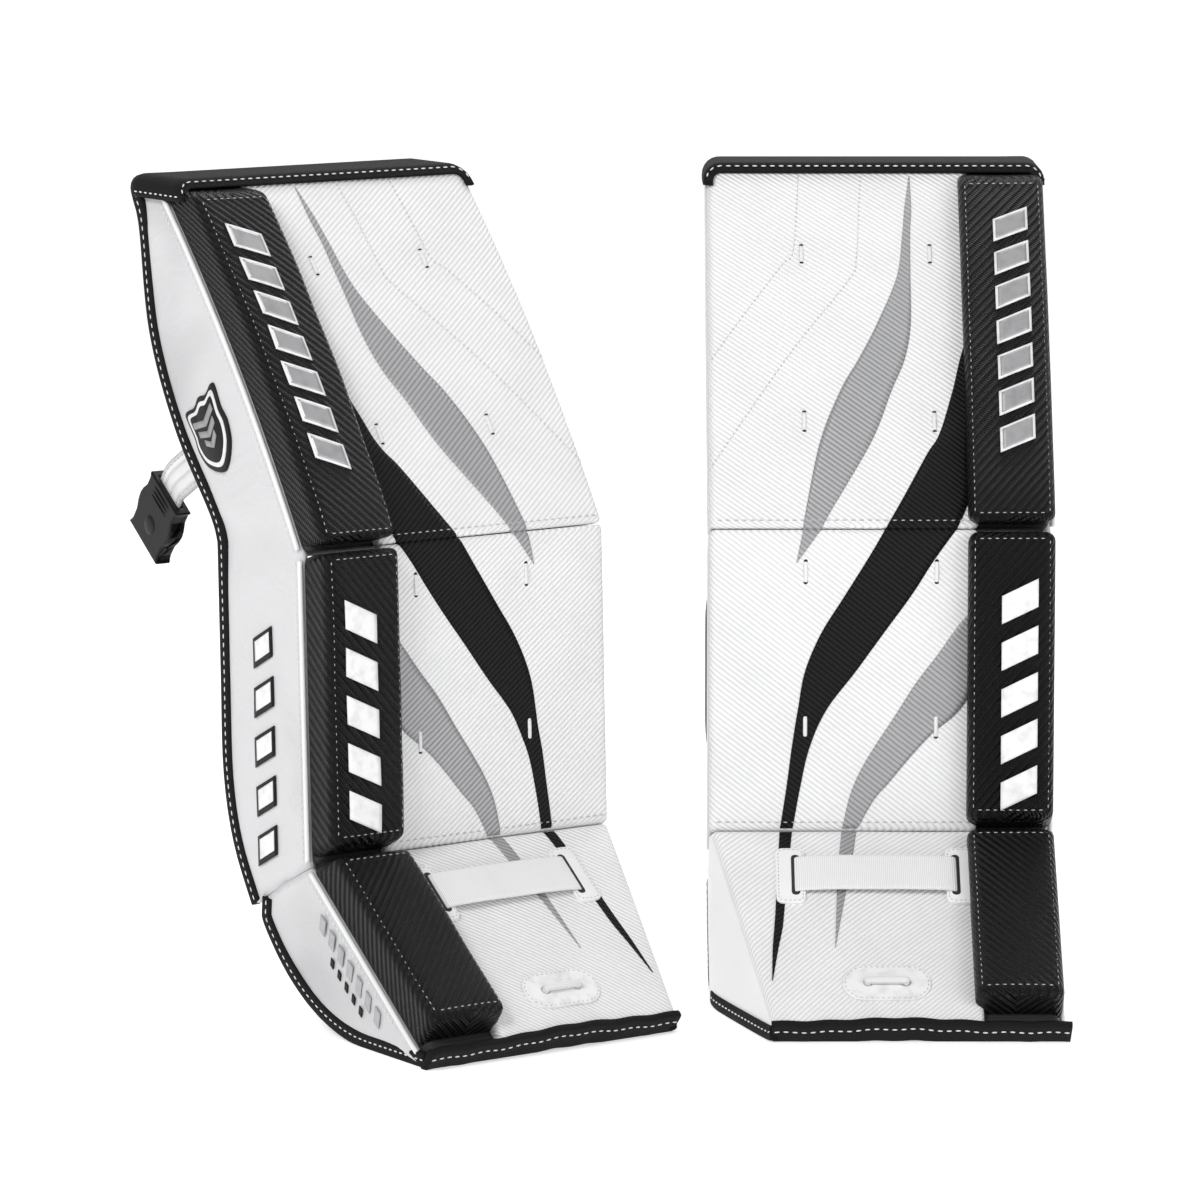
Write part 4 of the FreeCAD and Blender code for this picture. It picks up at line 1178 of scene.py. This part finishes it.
# Painted shade: the webbing is darker between its ribs.
strap_webbing = ribbed("strap_webbing", (0.70, 0.70, 0.70), (0.90, 0.90, 0.90), 0.0011, 90.0, 0.00012, 0.5)
for name, slot_x, outward in (("inner", strap_inner, -1), ("outer", strap_outer, 1)):
    middle = slot_x + outward * patch_shift
    x0, x1 = middle - patch_wide / 2, middle + patch_wide / 2
    s0, s1 = strap_place - patch_long / 2, strap_place + patch_long / 2
    high = face_height + cover_lift + patch_thick
    patch = plate(x0, x1, s0, s1, face_height - patch_sunk, high, patch_corner, patch_soft)
    make_pair(patch, name + "_patch", [patch_leather], "boot", ["slot_patches"])
    # A black plate over the patch stands for the slot's opening: painted shade inside the slot.
    slot = plate(slot_x - slot_half_wide, slot_x + slot_half_wide, strap_place - slot_half_long,
                 strap_place + slot_half_long, face_height, high + slot_above, slot_corner, 0.0001)
    make_pair(slot, name + "_slot_lining", [black_nylon], "boot")
    seam = ring_of(x0 + patch_seam_in, x1 - patch_seam_in, s0 + patch_seam_in, s1 - patch_seam_in,
                   patch_seam_corner, high)
    make_pair(sew(seam, *patch_stitch), name + "_patch_thread", [grey_thread], "boot")

square, back_way = face_way(boot_kick), Vector((0, 1, 0))
level = on_boot(0, -boot_core_depth - 0.006, strap_place)
side_back_y = strap_back + strap_thick / 2
stations = []
for x, way in ((strap_inner, -out), (strap_outer, out)):
    turn_way = (way + back_way).normalized()
    leg = [(Vector((x - way.x * strap_corner * 0.3, side_back_y - strap_corner * 0.3, level.z)), turn_way),
           (Vector((x, side_back_y - strap_corner, level.z)), way),
           (Vector((x, level.y + 0.02, level.z)), way),
           (Vector((x, level.y + 0.004, level.z + 0.0004)), way),
           (on_boot(x, -0.02, strap_place), way),
           (on_boot(x, face_height, strap_place), way),
           (on_boot(x, strap_above - 0.0025, strap_place), way),
           (on_boot(x - way.x * 0.003, strap_above, strap_place), square)]
    stations += leg if x < 0 else leg[::-1]
strap_span = strap_outer - strap_inner
front = [(on_boot(strap_inner + strap_span * f, strap_above + 0.0012, strap_place), square)
         for f in (0.25, 0.5, 0.75)]
stations = stations[:8] + front + stations[8:]
behind = [(Vector((strap_inner + strap_span * f, side_back_y, level.z)), back_way)
          for f in (0.88, 0.7, 0.5, 0.3, 0.12)]
strap_line = eased(stations + behind + stations[:1])
make_pair(sweep(strap_line, strap_wide, strap_thick, 0.25, 16), "boot_webbing", [strap_webbing],
          "boot", ["boot_strap"])

# ---- Toe plate and lace ----
# A white plastic plate with two holes, stitched to the toe all round, and the short lace between
# its holes. The lace ties the pad to the toe of the skate.
toe_plate_place, toe_plate_half_long, toe_plate_half_wide = 0.121, 0.0232, 0.0112
toe_plate_stitch = (0.0030, 0.0018, 0.0006)


def softened(node, width, near=35.0):
    """A copy of one of the pad's hard parts, in the pad's own lines, with its edges rounded."""
    bm = bmesh.new()
    bm.from_mesh(frame["nodes"]["left_" + node].data)
    bmesh.ops.transform(bm, matrix=stands["left"].inverted(), verts=bm.verts)
    bmesh.ops.remove_doubles(bm, verts=bm.verts, dist=0.00001)
    bmesh.ops.dissolve_limit(bm, angle_limit=math.radians(3), verts=bm.verts, edges=bm.edges)
    sharp = [edge for edge in bm.edges if len(edge.link_faces) == 2
             and edge.calc_face_angle() > math.radians(near)]
    bmesh.ops.bevel(bm, geom=sharp, offset=width, segments=2, profile=0.5, affect="EDGES", material=-1,
                    clamp_overlap=True)
    bmesh.ops.triangulate(bm, faces=[face for face in bm.faces if len(face.verts) > 4])
    return bm


toe_plastic = printed("toe_plastic", (0.84, 0.84, 0.85), 0.3, Coat_Weight=0.2)
make_pair(softened("toe_plate", 0.0006), "toe_stay", [toe_plastic], "boot", ["toe_plate"],
          flat=True)
lace_cord = knit("lace_cord", (0.60, 0.60, 0.60), (0.88, 0.88, 0.88), 0.0009, 0.0002, 0.6)
make_pair(softened("toe_lace", 0.0002), "toe_tie", [lace_cord], "boot", ["toe_lace"])
plate_ring = ring_of(-toe_plate_half_long, toe_plate_half_long, toe_plate_place - toe_plate_half_wide,
                     toe_plate_place + toe_plate_half_wide, 0.0111, face_height + 0.0020)
make_pair(sew(plate_ring, *toe_plate_stitch), "toe_stay_thread", [grey_thread], "boot")

# ---- Inner gusset of the boot ----
# A flat panel of white leather that closes the boot's inner side down to the floor. The same
# black tape binds its free edge, and two rows of thread join it to the boot's cover.
make_pair(softened("boot_inner_gusset", 0.0008), "inner_gusset", [white_leather], "boot",
          ["boot_inner_gusset"], flat=True)
gusset_way = Vector((-0.929, -0.356, 0.098))
gusset_edge = ((-97, 47, 55), (-97, 38.6, 44.4), (-97, 25.7, 31.8), (-97, 7.4, 18.6), (-97, -12.8, 8.8),
               (-96, -30, 4.5), (-93.9, -39, 3.2), (-87.8, -56.3, 2.8), (-76.6, -88, 2.8),
               (-65.6, -118.6, 3.2), (-63.9, -123.4, 4.6))
points = spread(smooth_line([Vector(point) / 1000 for point in gusset_edge]), 70)
line = []
for point in points:
    turn = min(1.0, max(0.0, (-0.022 - point.y) / 0.024))
    way = (-out).lerp(gusset_way, turn).normalized()
    line.append((point - way * (0.0022 - 0.0010 * turn) + Vector((0, 0, 0.0012)), way))
shape = sweep(line, tape_width * 0.9, tape_thickness * 0.8)
stand_flat(shape)
make_pair(shape, "gusset_tape", [black_tape], "boot")
seam = [(point + way * 0.0026 + Vector((0, 0, 0.0008)), way) for point, way in line]
make_pair(sew(seam), "gusset_tape_thread", [white_thread], "boot")
seam_stitch = (0.0042, 0.0026, 0.0007)
bm = None
for behind in (0.0035, 0.0065):
    line = []
    for i in range(61):
        s = 0.004 + (boot_length - 0.016) * i / 60
        edge = -half_width + toe_inset * s / boot_length
        line.append((on_boot(edge, -behind, s) + gusset_way * thread_lift, gusset_way))
    bm = sew(line, *seam_stitch, bm)
make_pair(bm, "gusset_thread", [grey_thread], "boot")

# ---- Leg liner ----
# A thin quilted lining of grey knitted cloth over soft foam, sewn on the back of the shin, where
# the leg rests.
liner_front, liner_back, liner_half_width, liner_fill = -0.0355, -0.0388, 0.0935, 0.4
liner_soft, liner_cell, quilted_half_width, quilt, quilt_depth = 0.0012, 0.0045, 0.092, 0.027, 0.0012
liner_knit = knit("liner_knit", (0.05, 0.05, 0.052), (0.13, 0.13, 0.135), 0.0016, 0.0003, 0.8)
shape = block("shin", -liner_half_width, liner_half_width, liner_back, liner_front, liner_soft, liner_cell)
for vert in shape.verts:
    n = (vert.co - boot_break).dot(face_way(shin_lean))
    s = (vert.co - boot_break).dot(lean_way(shin_lean))
    if n < (liner_front + liner_back) / 2 and abs(vert.co.x) < quilted_half_width:
        a, b = math.pi * (vert.co.x + s) / quilt, math.pi * (vert.co.x - s) / quilt
        vert.co -= face_way(shin_lean) * quilt_depth * abs(math.sin(a) * math.sin(b)) ** 0.5
make_pair(shape, "shin_liner", [liner_knit], "shin", ["leg_liner"])

# ---- Knee block and folding wings ----
# Stuffed pads in black nylon behind the knee and beside the calf. Air pressure inside a cloth
# cover gives each its rounded shape. The wings turn on their front edges.
swell_pressure, swell_frames, swell_voxel, swell_inset = 4.0, 20, 0.0042, 0.0017


def stuffed(corners, most, soft):
    """A stuffed pad from the eight corners of its plain box. No point swells by more than most."""
    bm = bmesh.new()
    for corner in corners:
        bm.verts.new(Vector(corner) / 1000)
    bmesh.ops.convex_hull(bm, input=bm.verts[:])
    bmesh.ops.dissolve_limit(bm, angle_limit=0.05, verts=bm.verts, edges=bm.edges)
    middle = sum((vert.co for vert in bm.verts), Vector()) / len(bm.verts)
    for vert in bm.verts:
        vert.co -= (vert.co - middle).normalized() * swell_inset
    bmesh.ops.bevel(bm, geom=bm.edges[:], offset=soft, segments=3, profile=0.5, affect="EDGES", material=-1)
    bmesh.ops.recalc_face_normals(bm, faces=bm.faces)
    mesh = bpy.data.meshes.new("stuffing")
    bm.to_mesh(mesh)
    bm.free()
    blank = bpy.data.objects.new("stuffing", mesh)
    bpy.context.scene.collection.objects.link(blank)
    bpy.context.view_layer.objects.active = blank
    remesh = blank.modifiers.new("remesh", "REMESH")
    remesh.mode = "VOXEL"
    remesh.voxel_size = swell_voxel
    bpy.ops.object.modifier_apply(modifier=remesh.name)
    rest = [vert.co.copy() for vert in blank.data.vertices]
    cloth = blank.modifiers.new("cloth", "CLOTH")
    cloth.settings.use_pressure = True
    cloth.settings.uniform_pressure_force = swell_pressure
    cloth.settings.effector_weights.gravity = 0.0
    cloth.point_cache.frame_start = 1
    cloth.point_cache.frame_end = swell_frames
    for frame_number in range(1, swell_frames + 1):
        bpy.context.scene.frame_set(frame_number)
    swollen = blank.evaluated_get(bpy.context.evaluated_depsgraph_get())
    places = [vert.co.copy() for vert in swollen.data.vertices]
    blank.modifiers.remove(cloth)
    bpy.context.scene.frame_set(1)
    for vert, was, now in zip(blank.data.vertices, rest, places):
        move = now - was
        vert.co = was + move * min(1.0, most / max(move.length, 1e-9))
    smooth = blank.modifiers.new("smooth", "SUBSURF")
    smooth.levels = smooth.render_levels = 1
    bpy.ops.object.modifier_apply(modifier=smooth.name)
    bm = bmesh.new()
    bm.from_mesh(blank.data)
    bpy.data.objects.remove(blank)
    return bm


knee_block_outline = ((53.5, 272.4), (94.8, 335.0), (119.8, 318.5), (78.5, 255.9))
knee_wing_outline = ((55.0, 273.8), (99.1, 340.6), (120.8, 326.2), (76.7, 259.5))
calf_wing_outline = ((44.3, 227.5), (90.3, 225.9), (86.7, 123.0), (40.7, 124.6))
for name, body, across, outline, most, soft, node in (
        ("knee_landing", "thigh", (-94.0, -52.0), knee_block_outline, 0.0008, 0.004, "knee_block"),
        ("outer_knee_wing", "knee_wing", (83.5, 93.5), knee_wing_outline, 0.0012, 0.003, "knee_wing"),
        ("inner_calf_wing", "calf_wing", (-97.0, -85.0), calf_wing_outline, 0.0014, 0.003, "calf_wing")):
    corners = [(x, y, z) for x in across for y, z in outline]
    make_pair(stuffed(corners, most, soft), name, [black_nylon], body, [node])

# ---- Knee strap and its buckle ----
# White ribbed webbing sewn inside the outer side, behind the knee. It hangs out behind with the
# black socket of a snap buckle on its end.
strap_x, webbing_width, webbing_thickness = 0.0926, 0.0250, 0.0020
# Painted shade: the webbing is darker between its ribs.
webbing = ribbed("webbing", (0.50, 0.50, 0.50), (0.88, 0.88, 0.88), 0.0024, 0.0, 0.0006, 0.6, cross=0.0012)
buckle_black = printed("buckle_black", (0.004, 0.004, 0.004), 0.36, Specular_IOR_Level=0.22)
buckle_long, buckle_half, buckle_mouth_half = 0.040, 0.0165, 0.0123
buckle_sides = ((0.0, 0.0184), (0.003, buckle_half), (0.009, buckle_half), (0.014, 0.0188), (0.018, 0.0196),
                (0.023, 0.0188), (0.028, 0.0168), (0.035, buckle_half), (0.038, 0.0174),
                (buckle_long, 0.0188))
buckle_cuts, ridge_places = 32, (0.004, 0.007, 0.010)
strap_seam_aside, strap_seam_out = 0.0095, 0.0010
strap_path = ((121.6, 305.2), (134.5, 298.0), (146.7, 290.7), (152.2, 284.2), (156.6, 278.1))
points = spread(smooth_line([Vector((strap_x * 1000, y, z)) / 1000 for y, z in strap_path]), 40)
line = [(p, out) for p in points]
make_pair(sweep(line, webbing_width, webbing_thickness, 0.3, 16), "knee_webbing", [webbing],
          "knee_strap", ["knee_strap"])
bm = None
for side_of in (-1, 1):
    edge = []
    for i, p in enumerate(points[1:-2], 1):
        along = (points[i + 1] - points[i - 1]).normalized()
        edge.append((p + out.cross(along) * side_of * strap_seam_aside + out * strap_seam_out, out))
    bm = sew(edge, *seam_stitch, bm)
make_pair(bm, "knee_webbing_thread", [grey_thread], "knee_strap")


def ridges(start, along, way, wide, high, long, places=ridge_places):
    """Rounded ridges across a buckle, at distances along it."""
    bm = bmesh.new()
    across = along.cross(way).normalized()
    for place in places:
        middle = start + along * place
        axes = Matrix((across, along, way)).transposed().to_4x4()
        size = Matrix.Diagonal((wide / 2, long / 2, high, 1))
        bmesh.ops.create_uvsphere(bm, u_segments=14, v_segments=8, radius=1.0,
                                  matrix=Matrix.Translation(middle) @ axes @ size)
    return bm


socket_way = Vector((0, 0.616, -0.788))
socket_start = Vector((0.0975, 0.1516, 0.2844))
shape = softened("buckle_socket", 0.0009)
for i in range(1, buckle_cuts):
    bmesh.ops.bisect_plane(shape, geom=shape.verts[:] + shape.edges[:] + shape.faces[:], plane_no=socket_way,
                           plane_co=socket_start + socket_way * buckle_long * i / buckle_cuts)
socket_across = out.cross(socket_way)
for vert in shape.verts:
    along = min(buckle_long, max(0.0, (vert.co - socket_start).dot(socket_way)))
    aside = (vert.co - socket_start).dot(socket_across)
    for (first, half), (last, next_half) in zip(buckle_sides, buckle_sides[1:]):
        if first <= along <= last:
            side_half = half + (next_half - half) * (along - first) / (last - first)
            break
    wall = abs(aside) - buckle_mouth_half
    if wall > 0.0:
        moved = wall * (side_half - buckle_half) / (buckle_half - buckle_mouth_half)
        vert.co += socket_across * math.copysign(moved, aside)
make_pair(shape, "snap_socket", [buckle_black], "knee_strap", ["buckle_socket"], flat=True)
make_pair(ridges(socket_start, socket_way, out, 0.020, 0.0009, 0.0016), "snap_socket_ridges", [buckle_black],
          "knee_strap")
make_pair(ridges(socket_start, socket_way, out, 0.012, 0.0008, 0.012, (0.026,)), "snap_socket_boss",
          [buckle_black], "knee_strap")

# ---- Back strap and its clip ----
# The same webbing hangs behind the knee on the inner side, with the buckle's other half on it.
back_strap_top, back_strap_long = Vector((-0.066, 0.113, 0.3056)), 0.0845
clip_start, down = Vector((-0.066, 0.1178, 0.2289)), Vector((0, 0, -1))
line = [(back_strap_top + down * back_strap_long * i / 40, back_way) for i in range(41)]
make_pair(sweep(line, webbing_width, webbing_thickness, 0.3, 16), "back_webbing", [webbing],
          "back_strap", ["back_strap"])
bm = None
for aside in (-strap_seam_aside, strap_seam_aside):
    seam = [(p + out * aside + way * strap_seam_out, way) for p, way in line[1:-2]]
    bm = sew(seam, *seam_stitch, bm)
make_pair(bm, "back_webbing_thread", [grey_thread], "back_strap")
make_pair(softened("buckle_clip", 0.0007), "snap_clip", [buckle_black], "back_strap",
          ["buckle_clip"], flat=True)
make_pair(ridges(clip_start, down, back_way, 0.018, 0.0008, 0.0016), "snap_clip_ridges",
          [buckle_black], "back_strap")
